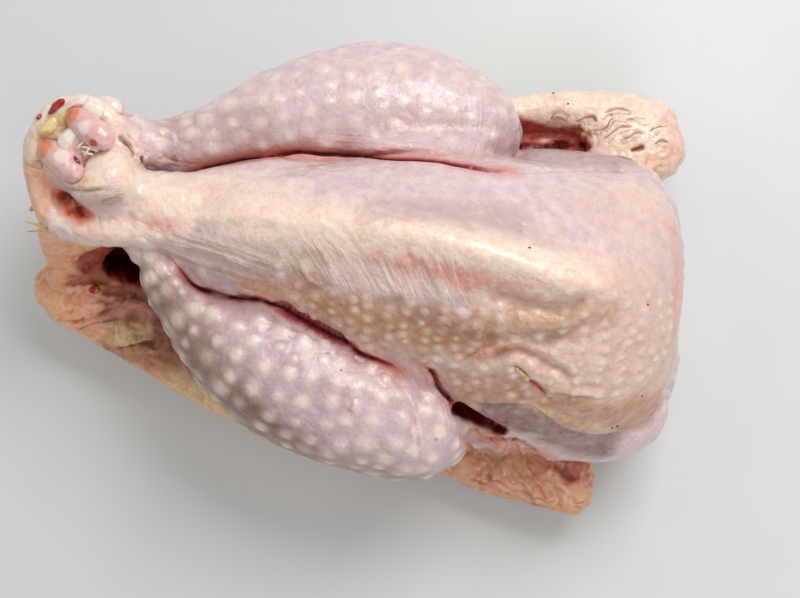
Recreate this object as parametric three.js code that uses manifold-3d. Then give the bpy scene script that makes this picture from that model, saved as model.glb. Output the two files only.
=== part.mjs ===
// A whole raw chicken, plucked and drawn, lying on its back with its breast up.
// Millimetres. +X runs towards the neck end, +Y towards the bird's right side, +Z up towards the keel.
// The origin is on the flat that the back makes on the surface it lies on.
//
// The bird's skin and flesh are one solid: fleshy forms, lofted along curved spines and joined.
// The two cut leg ends show bone. Each knuckle is a solid of its own, and its shaft runs into the drumstick.
import * as THREE from "three";
import { LoftGeometry } from "three/addons/geometries/LoftGeometry.js";
import { mergeVertices } from "three/addons/utils/BufferGeometryUtils.js";
import Module from "manifold-3d";

const wasm = await Module();
wasm.setup();

const KEEL_HEIGHT = 113; // top of the breast above the surface
const NECK_END = 104; // x of the neck end of the carcass
const TAIL_END = -92; // x where the carcass runs out into the belly skin
const NECK_SLANT = 0.09; // the neck end lies further back on the left side
const WAIST = 0.4; // height of the widest place of the carcass, as a share of its whole height
const KEEL_RIDGE = { tail: -60, neck: 85, halfWidth: 8 }; // the bony ridge along the top of the breast
const CONDYLE_RADIUS = 5.2; // of the joint ends at the cut end of the left leg
const SHIN_RADIUS = 4;
const SADDLE_DROP = 0.5; // how far the saddle between two condyles lies below them, in their radii
const SADDLE_SHARE = 0.85; // its radius, as a share of theirs
const BONE_CLEARANCE = 0.3; // gap between a bone and the flesh round it

const TIP = 0.004; // share of a spine where its first and last rings lie
const FLOOR_SIZE = 400; // the block that trims the back flat

const SKIN_COLOUR = 0xdcb3a6;
const CARTILAGE_COLOUR = 0xe8c4bd;

// Smooth values between the rows of a table: [place, value, value, ...].
function between(rows) {
  const places = rows.map((row) => row[0]);
  const values = rows.flatMap((row) => row.slice(1));
  const track = new THREE.CubicInterpolant(places, values, rows[0].length - 1);
  return (place) => Array.from(track.evaluate(place));
}

// The rounding of an end: 0 at its tip and 1 from one cap length on.
function rounding(distance, cap, squareness = 2) {
  if (distance >= cap) return 1;
  return (1 - (1 - Math.max(distance, 0) / cap) ** squareness) ** (1 / squareness);
}

// Share of a spine where a ring lies: rings crowd together towards both ends.
function shareOf(ring, rings) {
  return THREE.MathUtils.lerp(TIP, 1 - TIP, (1 - Math.cos((Math.PI * ring) / rings)) / 2);
}

// A fleshy form. Its spine is a curve through points, and its girth a table of
// [share of the spine, half width, half height]. Both ends are rounded over a share of the spine.
function flesh({ spine, girth, caps = [0.15, 0.15], up = [0, 0, 1], around = 16, along = 12 }) {
  const stations = spine.map((place) => new THREE.Vector3(...place));
  const curve = new THREE.CatmullRomCurve3(stations, false, "centripetal");
  const sizeAt = between(girth);
  const upward = new THREE.Vector3(...up);
  const sections = [];
  for (let ring = 0; ring <= along; ring++) {
    const share = shareOf(ring, along);
    const round = rounding(share, caps[0]) * rounding(1 - share, caps[1]);
    const [halfWidth, halfHeight] = sizeAt(share);
    const centre = curve.getPointAt(share);
    const ahead = curve.getTangentAt(share);
    const side = new THREE.Vector3().crossVectors(upward, ahead).normalize();
    const top = new THREE.Vector3().crossVectors(ahead, side);
    const points = [];
    for (let i = 0; i < around; i++) {
      const angle = (2 * Math.PI * i) / around;
      points.push(
        centre.clone()
          .addScaledVector(side, halfWidth * round * Math.cos(angle))
          .addScaledVector(top, halfHeight * round * Math.sin(angle)),
      );
    }
    sections.push(points);
  }
  return new LoftGeometry(sections, { capStart: true, capEnd: true });
}

// The carcass with its breast. Each cross-section leans from the middle of the back to the keel.
// It stands on the back, is widest at its waist and rises to the keel, where a narrow bony ridge runs.
function carcass() {
  const neckCap = 24; // length over which the neck end rounds off
  const tailCap = 40;
  const neckSquareness = 3;
  const flankHollow = 0.8; // below 1, the sides draw in below the waist
  const flankRound = 1.25; // above 1, the sides bulge less at the waist
  const slantGrowth = 6; // how suddenly the slant sets in at the neck end
  const rings = 32;
  const around = 40;
  const crowding = 0.5; // draws the points of a ring towards the keel
  // [x, half width, keel height, height of the back, y of the keel, y of the back, fullness of the breast]
  const sizeAt = between([
    [-92, 26, 84, 26, 38, 2, 1.6],
    [-68, 34, 92, 12, 33, -4, 1.6],
    [-33, 43, 99, 0, 27, -8, 1.7],
    [0, 50, 104, -3, 20, -9, 1.8],
    [23, 53, 106, -3, 14, -9, 1.9],
    [46, 54, 104, -3, 7, -8, 2.0],
    [66, 53, 99, 0, 1, -6, 2.1],
    [85, 51, 90, 8, 0, -4, 2.1],
    [105.5, 50, 74, 20, 0, -3, 2.1],
  ]);
  // [x, height of the ridge above the breast]
  const ridgeAt = between([
    [-60, 0], [-30, 2], [0, 5.5], [35, 7.5], [56, 8], [67, 6.5], [77, 2], [85, 0], [108, 0],
  ]);
  const sections = [];
  for (let ring = 0; ring <= rings; ring++) {
    const share = shareOf(ring, rings);
    const x = THREE.MathUtils.lerp(TAIL_END, NECK_END, share);
    const [halfWidth, keel, back, keelY, backY, fullness] = sizeAt(x);
    const round = rounding(NECK_END - x, neckCap, neckSquareness) * rounding(x - TAIL_END, tailCap);
    const ridge = x > KEEL_RIDGE.tail && x < KEEL_RIDGE.neck ? Math.max(ridgeAt(x)[0], 0) : 0;
    const waist = THREE.MathUtils.lerp(back, keel, WAIST);
    const points = [];
    for (let i = 0; i < around; i++) {
      const turn = (2 * Math.PI * i) / around;
      const angle = turn + crowding * Math.cos(turn);
      const c = Math.cos(angle);
      const s = Math.sin(angle);
      const above = (keel - waist) * Math.abs(s) ** (2 / fullness);
      const below = (waist - back) * Math.abs(s) ** flankHollow;
      const rise = s > 0 ? above : -below;
      const out = halfWidth * Math.sign(c) * Math.abs(c) ** flankRound;
      const crest = s > 0 ? ridge * Math.exp(-((out / KEEL_RIDGE.halfWidth) ** 2)) : 0;
      const z = waist + (rise + crest) * round;
      const lean = THREE.MathUtils.lerp(backY, keelY, z / KEEL_HEIGHT);
      const slant = NECK_SLANT * share ** slantGrowth * out * round;
      points.push(new THREE.Vector3(x + slant, lean + out * round, z));
    }
    sections.push(points);
  }
  return new LoftGeometry(sections, { capStart: true, capEnd: true });
}

// The back from the hips to the tail, a broad low wedge that ends in the tail's point.
const rump = () =>
  flesh({
    spine: [[40, -6, 16], [-20, -7, 18], [-75, -3, 19], [-112, 2, 24], [-141, 7, 29]],
    girth: [
      [0, 40, 18], [0.3, 48, 20], [0.55, 43, 19], [0.7, 31, 16], [0.85, 19, 12], [0.95, 12, 9], [1, 8, 7],
    ],
    caps: [0.1, 0.05],
    around: 18,
    along: 16,
  });

// Drumsticks run from the knee, beside the breast, back to the cut leg end at the tail.
const rightDrumstick = () =>
  flesh({
    spine: [[45, 57, 42], [26, 65, 44], [-7, 69.5, 47], [-40, 66.5, 50], [-75, 56, 56], [-98, 54, 60]],
    girth: [
      [0, 13, 20], [0.12, 19, 24.5], [0.3, 27, 26], [0.55, 23, 23],
      [0.75, 15, 16.5], [0.92, 11, 12], [1, 8, 11],
    ],
    caps: [0.13, 0.1],
    around: 20,
    along: 20,
  });

const leftDrumstick = () =>
  flesh({
    spine: [[25, -50, 50], [8, -46, 52], [-25, -34.5, 56], [-54, -20, 60], [-77, -2, 62], [-90, 19, 64]],
    girth: [[0, 18, 23], [0.15, 22, 25.5], [0.4, 25.5, 26], [0.62, 22, 22], [0.82, 12, 14], [1, 8.5, 10]],
    caps: [0.13, 0.1],
    around: 20,
    along: 20,
  });

// Thighs run from the hip up to the knee, under the drumsticks.
const rightThigh = () =>
  flesh({
    spine: [[-45, 36, 26], [-5, 52, 27], [30, 62, 36]],
    girth: [[0, 22, 20], [0.5, 29, 25], [1, 20, 23]],
    caps: [0.3, 0.25],
    around: 14,
    along: 9,
  });

const leftThigh = () =>
  flesh({
    spine: [[-55, -30, 26], [-20, -38, 27], [12, -47, 42]],
    girth: [[0, 20, 20], [0.5, 26, 25], [1, 20, 23]],
    caps: [0.3, 0.25],
    around: 14,
    along: 9,
  });

// The slack skin of the neck, folded under the front of the breast.
const neckSkin = () =>
  flesh({
    spine: [[86, -44, 34], [97, -28, 30], [96, 4, 29], [96, 30, 33], [88, 42, 42]],
    girth: [[0, 10, 14], [0.5, 8, 17], [1, 9, 14]],
    caps: [0.2, 0.2],
    along: 12,
  });

// Wings are folded flat at the sides: upper arm, forearm, and the wrinkled wrist beside the shoulder.
const rightUpperArm = () =>
  flesh({
    spine: [[100, 36, 48], [72, 43.5, 43], [38, 49, 33]],
    girth: [[0, 13, 18], [0.5, 12, 17], [1, 10, 13]],
    caps: [0.3, 0.2],
    along: 14,
  });

const rightForearm = () =>
  flesh({
    spine: [[28, 71, 24], [60, 74, 26], [84, 70, 28], [107, 63, 28]],
    girth: [[0, 7, 11], [0.4, 8, 12], [0.75, 12, 14], [1, 13, 15]],
    caps: [0.15, 0.13],
    along: 15,
  });

const rightWrist = () =>
  flesh({
    spine: [[68, 65, 28], [90, 59.5, 33], [109, 57, 30]],
    girth: [[0, 12, 12], [0.5, 15, 14], [1, 12.5, 14]],
    caps: [0.35, 0.3],
    along: 10,
  });

// The skin between the folded wing and the side, deep in the armpit.
const rightArmpit = () =>
  flesh({
    spine: [[38, 58, 19], [62, 59, 20], [90, 56, 22]],
    girth: [[0, 9, 11], [0.5, 8, 11], [1, 10, 12]],
    caps: [0.2, 0.2],
    around: 12,
    along: 8,
  });

const leftUpperArm = () =>
  flesh({
    spine: [[100, -38, 44], [70, -46, 40], [28, -38, 34]],
    girth: [[0, 15, 18], [0.5, 15, 18], [1, 9, 12]],
    caps: [0.3, 0.2],
    along: 14,
  });

const leftForearm = () =>
  flesh({
    spine: [[8, -52, 20], [38, -60, 19], [60, -68, 18], [74.5, -71, 17]],
    girth: [[0, 12, 10], [0.5, 13.5, 12], [1, 12, 13]],
    caps: [0.1, 0.06],
    up: [0, 0.35, 1],
    along: 16,
  });

const leftWingTip = () =>
  flesh({
    spine: [[16, -58, 13], [46, -68, 10], [72, -75, 11]],
    girth: [[0, 9, 7], [0.5, 10, 8], [1, 7, 8]],
    caps: [0.2, 0.08],
    around: 14,
    along: 10,
  });

// The leg ends are bundled over the tail: the left one on top, its cut end up.
const leftShank = () =>
  flesh({
    spine: [[-82, 12, 60], [-95, 30, 68], [-105, 42, 77], [-110.5, 47.5, 84]],
    girth: [[0, 10, 11], [0.5, 13, 12], [0.8, 16, 13], [1, 16.5, 13]],
    caps: [0.2, 0.12],
    up: [1, 1, 0],
    along: 14,
  });

const rightShank = () =>
  flesh({
    spine: [[-84, 54, 60], [-97, 56.5, 67], [-106, 60, 73]],
    girth: [[0, 10, 12], [0.5, 9, 11], [1, 9, 9]],
    caps: [0.2, 0.2],
    along: 10,
  });

// The flesh that the left leg's joint end sits in, like an egg in a cup.
const hockCup = () =>
  flesh({
    spine: [[-127, 58, 70], [-115, 51, 73], [-100, 43, 74]],
    girth: [[0, 12, 11], [0.5, 15, 12], [1, 12, 11]],
    caps: [0.35, 0.35],
    around: 14,
    along: 8,
  });

// The bottom of the pocket between the shank and the loop.
const pocketLining = () =>
  flesh({
    spine: [[-129, 47, 60], [-121, 38, 60], [-108, 28, 62]],
    girth: [[0, 8, 6], [0.5, 10, 7], [1, 8, 6]],
    caps: [0.3, 0.3],
    around: 12,
    along: 8,
  });

// The belly skin drawn back over the leg ends, and the strip of it that loops round them.
const bellySkin = () =>
  flesh({
    spine: [[8, 16, 56], [-45, 27, 64], [-82, 30, 70], [-106, 40, 73]],
    girth: [[0, 20, 22], [0.4, 25, 24], [0.75, 15.5, 16], [1, 12, 11]],
    caps: [0.3, 0.2],
    along: 12,
  });

const skinLoop = () =>
  flesh({
    spine: [
      [-76, 22, 74], [-98, 23, 74], [-113, 23.5, 71], [-124, 29, 67], [-129, 45, 68], [-126, 58, 74],
      [-116, 65, 79], [-104, 62, 79], [-97, 53, 72],
    ],
    girth: [[0, 5.5, 8], [0.3, 6, 8], [0.5, 6, 10], [0.75, 6.5, 9], [1, 6, 8]],
    caps: [0.1, 0.1],
    around: 12,
    along: 22,
  });

// The skin that hangs from the loop and the belly to the tail, behind the vent.
const ventSkin = () =>
  flesh({
    spine: [[-99, 37, 70], [-102, 31, 54], [-104, 25, 40], [-104, 20, 26]],
    girth: [[0, 4, 20], [0.5, 3.5, 20], [1, 5, 20]],
    caps: [0.12, 0.12],
    up: [1, 0.35, 0],
    around: 12,
    along: 8,
  });

const tailSkin = () =>
  flesh({
    spine: [[-118, 27, 68], [-121, 20, 54], [-122, 14, 40], [-122, 10, 28]],
    girth: [[0, 4, 13], [0.5, 3.5, 12], [1, 5, 12]],
    caps: [0.12, 0.12],
    up: [1, 0, 0],
    around: 12,
    along: 8,
  });

// The vent opens between the belly skin and the tail and leads into the drawn body.
const bodyCavity = () =>
  flesh({
    spine: [[-122, 8, 54], [-106, 8.5, 45], [-84, 7, 45], [-45, 2, 47], [25, 0, 50]],
    girth: [[0, 8, 9], [0.13, 12.5, 15], [0.24, 12, 14], [0.42, 20, 18], [0.65, 29.5, 25.5], [1, 29, 25]],
    caps: [0.05, 0.3],
    around: 16,
    along: 14,
  });

// A cut leg end: the joint's two condyles, side by side like the rims of a pulley, bridged by a saddle,
// on the end of the shin's shaft. Each condyle runs between two places.
function knuckle({ condyles, radius, into, grow = 0 }) {
  const even = (size) => [[0, size + grow, size + grow], [1, size + grow, size + grow]];
  const rims = condyles.map((spine) =>
    flesh({ spine, girth: even(radius), caps: [0.32, 0.32], around: 12, along: 6 }),
  );
  const sunk = condyles.map(([start, end]) => {
    const middle = new THREE.Vector3(...start).lerp(new THREE.Vector3(...end), 0.5);
    return middle.setZ(middle.z - SADDLE_DROP * radius);
  });
  const saddle = flesh({
    spine: sunk.map((place) => place.toArray()),
    girth: even(SADDLE_SHARE * radius),
    caps: [0.1, 0.1],
    around: 10,
    along: 4,
  });
  const root = new THREE.Vector3(...into);
  const tip = sunk[0].clone().lerp(sunk[1], 0.5);
  const thin = SHIN_RADIUS + grow;
  const thick = radius + grow;
  const shaft = flesh({
    spine: [root.toArray(), root.clone().lerp(tip, 0.6).toArray(), tip.toArray()],
    girth: [[0, thin, thin], [0.6, thin, thin], [1, thick, thick]],
    caps: [0.1, 0.1],
    up: [1, 1, 0],
    around: 10,
    along: 6,
  });
  return join([...rims, saddle, shaft]);
}

// Closed geometry as a solid, with the vertices that share a place merged.
function solid(geometry) {
  const bare = new THREE.BufferGeometry().setAttribute("position", geometry.getAttribute("position"));
  bare.setIndex(geometry.getIndex());
  const merged = mergeVertices(bare, 1e-4);
  return new wasm.Manifold(
    new wasm.Mesh({
      numProp: 3,
      vertProperties: merged.getAttribute("position").array,
      triVerts: new Uint32Array(merged.getIndex().array),
    }),
  );
}

function join(geometries) {
  return geometries.map(solid).reduce((whole, piece) => whole.add(piece));
}

function meshOf(made, name, colour, roughness) {
  const { numProp, vertProperties, triVerts } = made.getMesh();
  const corners = new THREE.InterleavedBuffer(vertProperties, numProp);
  const places = new Float32Array((vertProperties.length / numProp) * 3);
  const position = new THREE.InterleavedBufferAttribute(corners, 3, 0);
  for (let i = 0; i < position.count; i++) {
    places.set([position.getX(i), position.getY(i), position.getZ(i)], i * 3);
  }
  const geometry = new THREE.BufferGeometry();
  geometry.setAttribute("position", new THREE.BufferAttribute(places, 3));
  geometry.setIndex(new THREE.BufferAttribute(triVerts, 1));
  geometry.computeVertexNormals();
  const material = new THREE.MeshStandardMaterial({ color: colour, roughness, metalness: 0 });
  const mesh = new THREE.Mesh(geometry, material);
  mesh.name = name;
  return mesh;
}

const leftKnuckle = {
  condyles: [[[-115.5, 63.5, 84], [-99.5, 51, 91]], [[-126, 53, 79], [-110.5, 40, 88]]],
  radius: CONDYLE_RADIUS,
  into: [-90, 20, 63],
};
const rightKnuckle = {
  condyles: [[[-108, 68, 75], [-98, 65, 80]], [[-110, 61, 73], [-99, 59, 78]]],
  radius: 0.8 * CONDYLE_RADIUS,
  into: [-80, 55, 60],
};

const chicken = new THREE.Group();
const floor = new THREE.BoxGeometry(FLOOR_SIZE, FLOOR_SIZE, FLOOR_SIZE).translate(0, 0, -FLOOR_SIZE / 2);
const fleshForms = [
  carcass(), rump(), rightDrumstick(), leftDrumstick(), rightThigh(), leftThigh(),
  rightUpperArm(), rightForearm(), rightWrist(), rightArmpit(), leftUpperArm(), leftForearm(),
  leftWingTip(), neckSkin(), leftShank(), rightShank(), hockCup(), pocketLining(), bellySkin(),
  skinLoop(), ventSkin(), tailSkin(),
];
const knuckles = { left_knuckle: leftKnuckle, right_knuckle: rightKnuckle };
let body = join(fleshForms).subtract(solid(bodyCavity()));
for (const [name, sizes] of Object.entries(knuckles)) {
  body = body.subtract(knuckle({ ...sizes, grow: BONE_CLEARANCE }));
  chicken.add(meshOf(knuckle(sizes), name, CARTILAGE_COLOUR, 0.35));
}
body = body.subtract(solid(floor));
const largest = body.decompose().sort((a, b) => b.volume() - a.volume())[0];
chicken.add(meshOf(largest, "chicken", SKIN_COLOUR, 0.45));

export default chicken;
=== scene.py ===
# A whole raw chicken, plucked and drawn, lying on its back on a pale table.
# The fixed CAD solids give every form. Here the faceted skin is meshed finely, smoothed, sculpted with
# folds, wrinkles and feather follicles and given wet, translucent skin. The two cut leg ends get
# cartilage, fat and sinew, and a few broken quills are left in the skin.
#
# Shapes are worked out in millimetres: +X towards the neck, +Y towards the bird's right side, +Z up.
import math

import bmesh
import bpy
import numpy as np
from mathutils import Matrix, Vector
from mathutils.bvhtree import BVHTree
from mathutils.kdtree import KDTree


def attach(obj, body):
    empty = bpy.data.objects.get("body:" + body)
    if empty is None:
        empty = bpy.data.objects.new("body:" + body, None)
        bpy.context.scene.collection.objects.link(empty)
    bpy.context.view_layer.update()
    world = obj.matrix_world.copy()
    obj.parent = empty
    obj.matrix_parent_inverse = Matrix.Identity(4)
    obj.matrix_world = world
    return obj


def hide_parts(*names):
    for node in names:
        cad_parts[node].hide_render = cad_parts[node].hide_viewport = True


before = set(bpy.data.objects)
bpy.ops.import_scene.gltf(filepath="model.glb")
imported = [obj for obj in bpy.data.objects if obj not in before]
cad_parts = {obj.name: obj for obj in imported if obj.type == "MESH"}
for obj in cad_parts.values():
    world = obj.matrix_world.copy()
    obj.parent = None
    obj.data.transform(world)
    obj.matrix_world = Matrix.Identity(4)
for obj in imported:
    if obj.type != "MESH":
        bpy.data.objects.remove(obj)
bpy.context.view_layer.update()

MM = 0.001
SKIN_VOXEL = 0.65  # size of the even mesh that the skin is sculpted in
SKIN_TRIANGLES = 190000
KNUCKLE_VOXEL = 0.35
ABOVE = 200  # height from which plan lines are dropped on the skin
DOWN = Vector((0, 0, -1))

# Spines of the main forms, as [x, y, z].
RIGHT_LEG = [[45, 57, 42], [26, 65, 44], [-7, 69.5, 47], [-40, 66.5, 50], [-75, 56, 56], [-98, 54, 60]]
LEFT_LEG = [[25, -50, 50], [8, -46, 52], [-25, -34.5, 56], [-54, -20, 60], [-77, -2, 62], [-90, 19, 64]]
BREAST = [[-70, 20, 45], [-30, 12, 48], [20, 5, 50], [60, 0, 50], [92, 0, 46]]
RUMP = [[40, -6, 16], [-20, -7, 18], [-75, -3, 19], [-112, 2, 24], [-141, 7, 29]]
RIGHT_WING = [[28, 71, 24], [60, 74, 26], [84, 70, 28], [107, 63, 28]]
LEFT_WING = [[8, -52, 20], [38, -60, 19], [60, -68, 18], [74.5, -71, 17]]

# Folds in plan, [x, y]. Each lies where one part of the skin laps over the next.
RIGHT_CREASE = [
    [-92, 41], [-88, 42], [-78.5, 44], [-70, 45.5], [-62.5, 46.5], [-57.5, 48], [-49.5, 49], [-43.5, 51],
    [-36.5, 52.5], [-28.5, 52], [-22, 51.5], [-12.5, 49], [-5.5, 47], [0, 46], [10.5, 45.5], [17.5, 44.5],
    [24.5, 44], [29.5, 43.5], [34, 44], [38, 45],
]
# Where the right thigh is pressed up against the breast.
THIGH_BANK = [[-20, 51], [-12, 51.5], [0, 52], [16, 52], [30, 52.5], [40, 53]]
LEFT_CREASE = [
    [-88, 17.5], [-83.5, 16], [-79.5, 13.5], [-76.5, 10], [-72.5, 5.5], [-66, 3], [-62.5, 1.5], [-56, 0.5],
    [-50, 0.5], [-45, -1], [-40, -3], [-35, -6], [-28.5, -9], [-22.5, -11.5], [-17.5, -13.5], [-13, -17],
    [-8.5, -19], [-1.5, -22], [2, -25],
]
LEFT_KNEE_CREASE = [[9.5, -24], [12.5, -27], [14.5, -31.5], [17, -34.5], [20, -37.5]]
WING_GAP = [[20.5, -39.5], [24, -41.5], [29, -44], [33, -46.5], [38, -49]]  # dark, under the breast's shelf
POCKET_FLAP = [[-120.5, 39.5], [-115, 37], [-110.5, 36], [-107, 35.5], [-103, 36], [-99.5, 36]]
WING_CURLS = [
    [[57, 69.5], [59.5, 71.5], [62.5, 71], [65, 69]],
    [[67, 68.5], [70, 69.5], [73, 70], [75, 67.5]],
    [[71, 65], [75, 64.5], [78, 65.5], [79.5, 68], [82, 69]],
    [[75.5, 60.5], [78.5, 62], [81.5, 64.5], [84, 65.5], [88, 65]],
    [[82, 60], [86, 61], [88.5, 62.5], [92, 62.5]],
    [[80, 53], [84, 52], [88, 51.5]],
    [[93, 63], [97, 65], [101, 65.5]],
    [[77, 71], [82.5, 73], [88, 71.5]],
    [[61, 67], [66, 66], [71, 63.5], [73, 60]],
    [[95, 58], [98, 60], [101, 59]],
    [[85, 68], [89, 69], [93, 68]],
]
BREAST_SHELF = [
    [20, -37.5], [27, -37.8], [34, -38], [43.5, -38], [49, -40.5], [53.5, -43.5], [59, -47], [65, -48.5],
    [73, -49.5], [81, -48],
]
TAIL_PLEAT = [[-125.5, -11.5], [-118, -9], [-111, -7.5], [-104.5, -6.5]]
COLLAR_SLITS = [[[-98.5, 55.5], [-96, 52.5], [-94, 49]], [[-92.5, 46.5], [-92, 50]]]
VENT_HOLE = [[-112, 16.5], [-108, 16.5], [-104, 15.5], [-98, 13.5]]
WING_HOLLOW = [[86.5, 55.5], [88.5, 56.5], [91, 57.5]]  # a small bloody hollow beside the wrist


# ---------------------------------------------------------------- meshes and modifiers

def add_piece(name, data):
    piece = bpy.data.objects.new(name, data)
    bpy.context.scene.collection.objects.link(piece)
    return piece


def bake_modifier(piece, kind, **settings):
    """Adds a modifier to a piece and turns its result into the piece's own mesh."""
    modifier = piece.modifiers.new(kind.lower(), kind)
    for setting, value in settings.items():
        setattr(modifier, setting, value)
    graph = bpy.context.evaluated_depsgraph_get()
    mesh = bpy.data.meshes.new_from_object(piece.evaluated_get(graph))
    piece.modifiers.clear()
    piece.data = mesh


def fine_copy(node, name, voxel):
    """A copy of a CAD node as one even mesh of small squares."""
    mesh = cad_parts[node].data.copy()
    welded = bmesh.new()
    welded.from_mesh(mesh)
    bmesh.ops.remove_doubles(welded, verts=welded.verts, dist=0.001 * MM)
    welded.to_mesh(mesh)
    welded.free()
    mesh.materials.clear()
    piece = add_piece(name, mesh)
    bake_modifier(piece, "REMESH", mode="VOXEL", voxel_size=voxel * MM)
    return piece


def triangle_count(mesh):
    return sum(len(polygon.vertices) - 2 for polygon in mesh.polygons)


def shade_smooth(piece):
    piece.data.polygons.foreach_set("use_smooth", [True] * len(piece.data.polygons))


class Clay:
    """The points of a piece's mesh in millimetres, to be smoothed and sculpted."""

    def __init__(self, piece):
        self.piece = piece
        mesh = piece.data
        flat = np.empty(len(mesh.vertices) * 3)
        mesh.vertices.foreach_get("co", flat)
        self.at = flat.reshape(-1, 3) / MM
        pairs = np.empty(len(mesh.edges) * 2, dtype=np.int32)
        mesh.edges.foreach_get("vertices", pairs)
        pairs = pairs.reshape(-1, 2)
        self.here = np.concatenate([pairs[:, 0], pairs[:, 1]])
        self.there = np.concatenate([pairs[:, 1], pairs[:, 0]])
        self.valence = np.maximum(np.bincount(self.here, minlength=len(self.at)), 1)

    def blur(self, values, passes):
        """Spreads values, one row a point, over the surface."""
        count = len(self.at)
        for _ in range(passes):
            columns = [
                np.bincount(self.here, weights=column[self.there], minlength=count) / self.valence
                for column in values.T
            ]
            values = (values + np.stack(columns, axis=1)) / 2
        return values

    def smooth(self, passes):
        """Rounds facets off. The drift of the whole form is taken back, so that nothing shrinks."""
        rounded = self.blur(self.at, passes)
        drift = self.blur(rounded - self.at, passes)
        self.at = rounded - drift
        self.write()

    def write(self):
        self.piece.data.vertices.foreach_set("co", (self.at * MM).ravel())
        self.piece.data.update()

    def normals(self):
        flat = np.empty(len(self.at) * 3, dtype=np.float32)
        self.piece.data.vertex_normals.foreach_get("vector", flat)
        return flat.reshape(-1, 3).astype(float)

    def surface(self):
        """The surface as it is now, to cast rays at, in millimetres."""
        triangles = self.piece.data
        triangles.calc_loop_triangles()
        corners = np.empty(len(triangles.loop_triangles) * 3, dtype=np.int32)
        triangles.loop_triangles.foreach_get("vertices", corners)
        return BVHTree.FromPolygons(self.at.tolist(), corners.reshape(-1, 3).tolist())

    def paint(self, name, amounts):
        """Keeps an amount from 0 to 1 at each point, under a name that the materials read."""
        self.keep(name, np.clip(amounts, 0, 1))

    def keep(self, name, values):
        layer = self.piece.data.attributes.new(name, "FLOAT", "POINT")
        layer.data.foreach_set("value", values.astype(np.float32))


# ---------------------------------------------------------------- lines, places and noise

def trace(points, step=0.6):
    """A smooth line through points, as places about step apart."""
    points = np.asarray(points, dtype=float)
    before = 2 * points[0] - points[1]
    after = 2 * points[-1] - points[-2]
    padded = np.vstack([before, points, after])
    stretches = []
    for a, b, c, d in zip(padded, padded[1:], padded[2:], padded[3:]):
        count = max(2, int(np.linalg.norm(c - b) / step))
        t = np.linspace(0, 1, count, endpoint=False)[:, None]
        bend = (2 * a - 5 * b + 4 * c - d) * t**2 + (3 * b - a - 3 * c + d) * t**3
        stretches.append(0.5 * (2 * b + (c - a) * t + bend))
    stretches.append(points[-1:])
    return np.vstack(stretches)


def even_places(line, count):
    """The same line as an exact number of places, evenly spaced."""
    walked = np.concatenate([[0], np.cumsum(np.linalg.norm(np.diff(line, axis=0), axis=1))])
    stations = np.linspace(0, walked[-1], count)
    return np.stack([np.interp(stations, walked, line[:, axis]) for axis in range(line.shape[1])], axis=1)


def ease(share):
    share = np.clip(share, 0, 1)
    return share * share * (3 - 2 * share)


def nearest_on_line(points, line):
    """For each point, its distance to a line and the number of the nearest place on it."""
    distance = np.empty(len(points))
    place = np.empty(len(points), dtype=int)
    chunk = 40000
    for start in range(0, len(points), chunk):
        part = points[start:start + chunk]
        squares = np.zeros((len(part), len(line)))
        for axis in range(3):
            squares += (part[:, axis, None] - line[None, :, axis]) ** 2
        nearest = squares.argmin(axis=1)
        place[start:start + chunk] = nearest
        distance[start:start + chunk] = np.sqrt(squares[np.arange(len(part)), nearest])
    return distance, place


def boxed_in(points, line, reach):
    """Which points lie in the box round a line, grown by reach on all sides."""
    low = line.min(axis=0) - reach
    high = line.max(axis=0) + reach
    return np.flatnonzero(np.all((points > low) & (points < high), axis=1))


def left_of(points, line, place):
    """How far each point lies to the left of its place on a line, seen from above."""
    ahead = np.gradient(line, axis=0)[place]
    ahead /= np.linalg.norm(ahead[:, :2], axis=1)[:, None]
    beside = points - line[place]
    return ahead[:, 0] * beside[:, 1] - ahead[:, 1] * beside[:, 0]


def fade_ends(share, length=0.2):
    """1 along a line, falling to 0 over a share of its length at both ends."""
    return ease(share / length) * ease((1 - share) / length)


def noise(points, size, seed=0):
    """Smooth uneven values from -1 to 1, with lumps about size millimetres across."""
    cell = points / size
    corner = np.floor(cell).astype(np.int64)
    share = ease(cell - corner)
    total = np.zeros(len(points))
    for offset in np.ndindex(2, 2, 2):
        x, y, z = (corner + np.array(offset)).T
        key = (x * 73856093) ^ (y * 19349663) ^ (z * 83492791) ^ (seed * 2654435761 + 12345)
        key = (key ^ (key >> 13)) * 1274126177
        value = ((key ^ (key >> 16)) & 0xFFFF) / 32767.5 - 1
        weight = np.prod(np.where(offset, share, 1 - share), axis=1)
        total += value * weight
    return total


def creased(points, size, seed=0):
    """Uneven values like crumpled skin: broad round swells between narrow valleys, from 0 to 1."""
    warp = np.stack([noise(points, size * 1.7, seed + k) for k in (1, 2, 3)], axis=1)
    return np.abs(noise(points + warp * size * 0.8, size, seed + 4)) ** 0.6


def near(points, line, inner, outer, ragged=0.0):
    """1 within inner millimetres of a line, falling to 0 at outer. A ragged edge wanders by that much."""
    line = trace(line, 3)
    close = boxed_in(points, line, outer + 2 * ragged)
    distance, _ = nearest_on_line(points[close], line)
    if ragged:
        wander = noise(points[close], 7, 5) + 0.5 * noise(points[close], 2.5, 6)
        distance = distance + ragged * wander
    amount = np.zeros(len(points))
    amount[close] = 1 - ease((distance - inner) / (outer - inner))
    return amount


# ---------------------------------------------------------------- sculpting

def look_down(surface, place):
    """The point of the surface straight below a place in plan, or None."""
    return surface.ray_cast(Vector((*place, ABOVE)), DOWN)[0]


def drop(surface, plan):
    """A plan line, or a line in space, laid on the skin."""
    laid = []
    for place in plan:
        if len(place) == 2:
            hit = look_down(surface, place)
        else:
            hit = surface.find_nearest(Vector(place))[0]
        if hit is not None:
            laid.append(hit[:])
    return np.array(laid)


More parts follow.
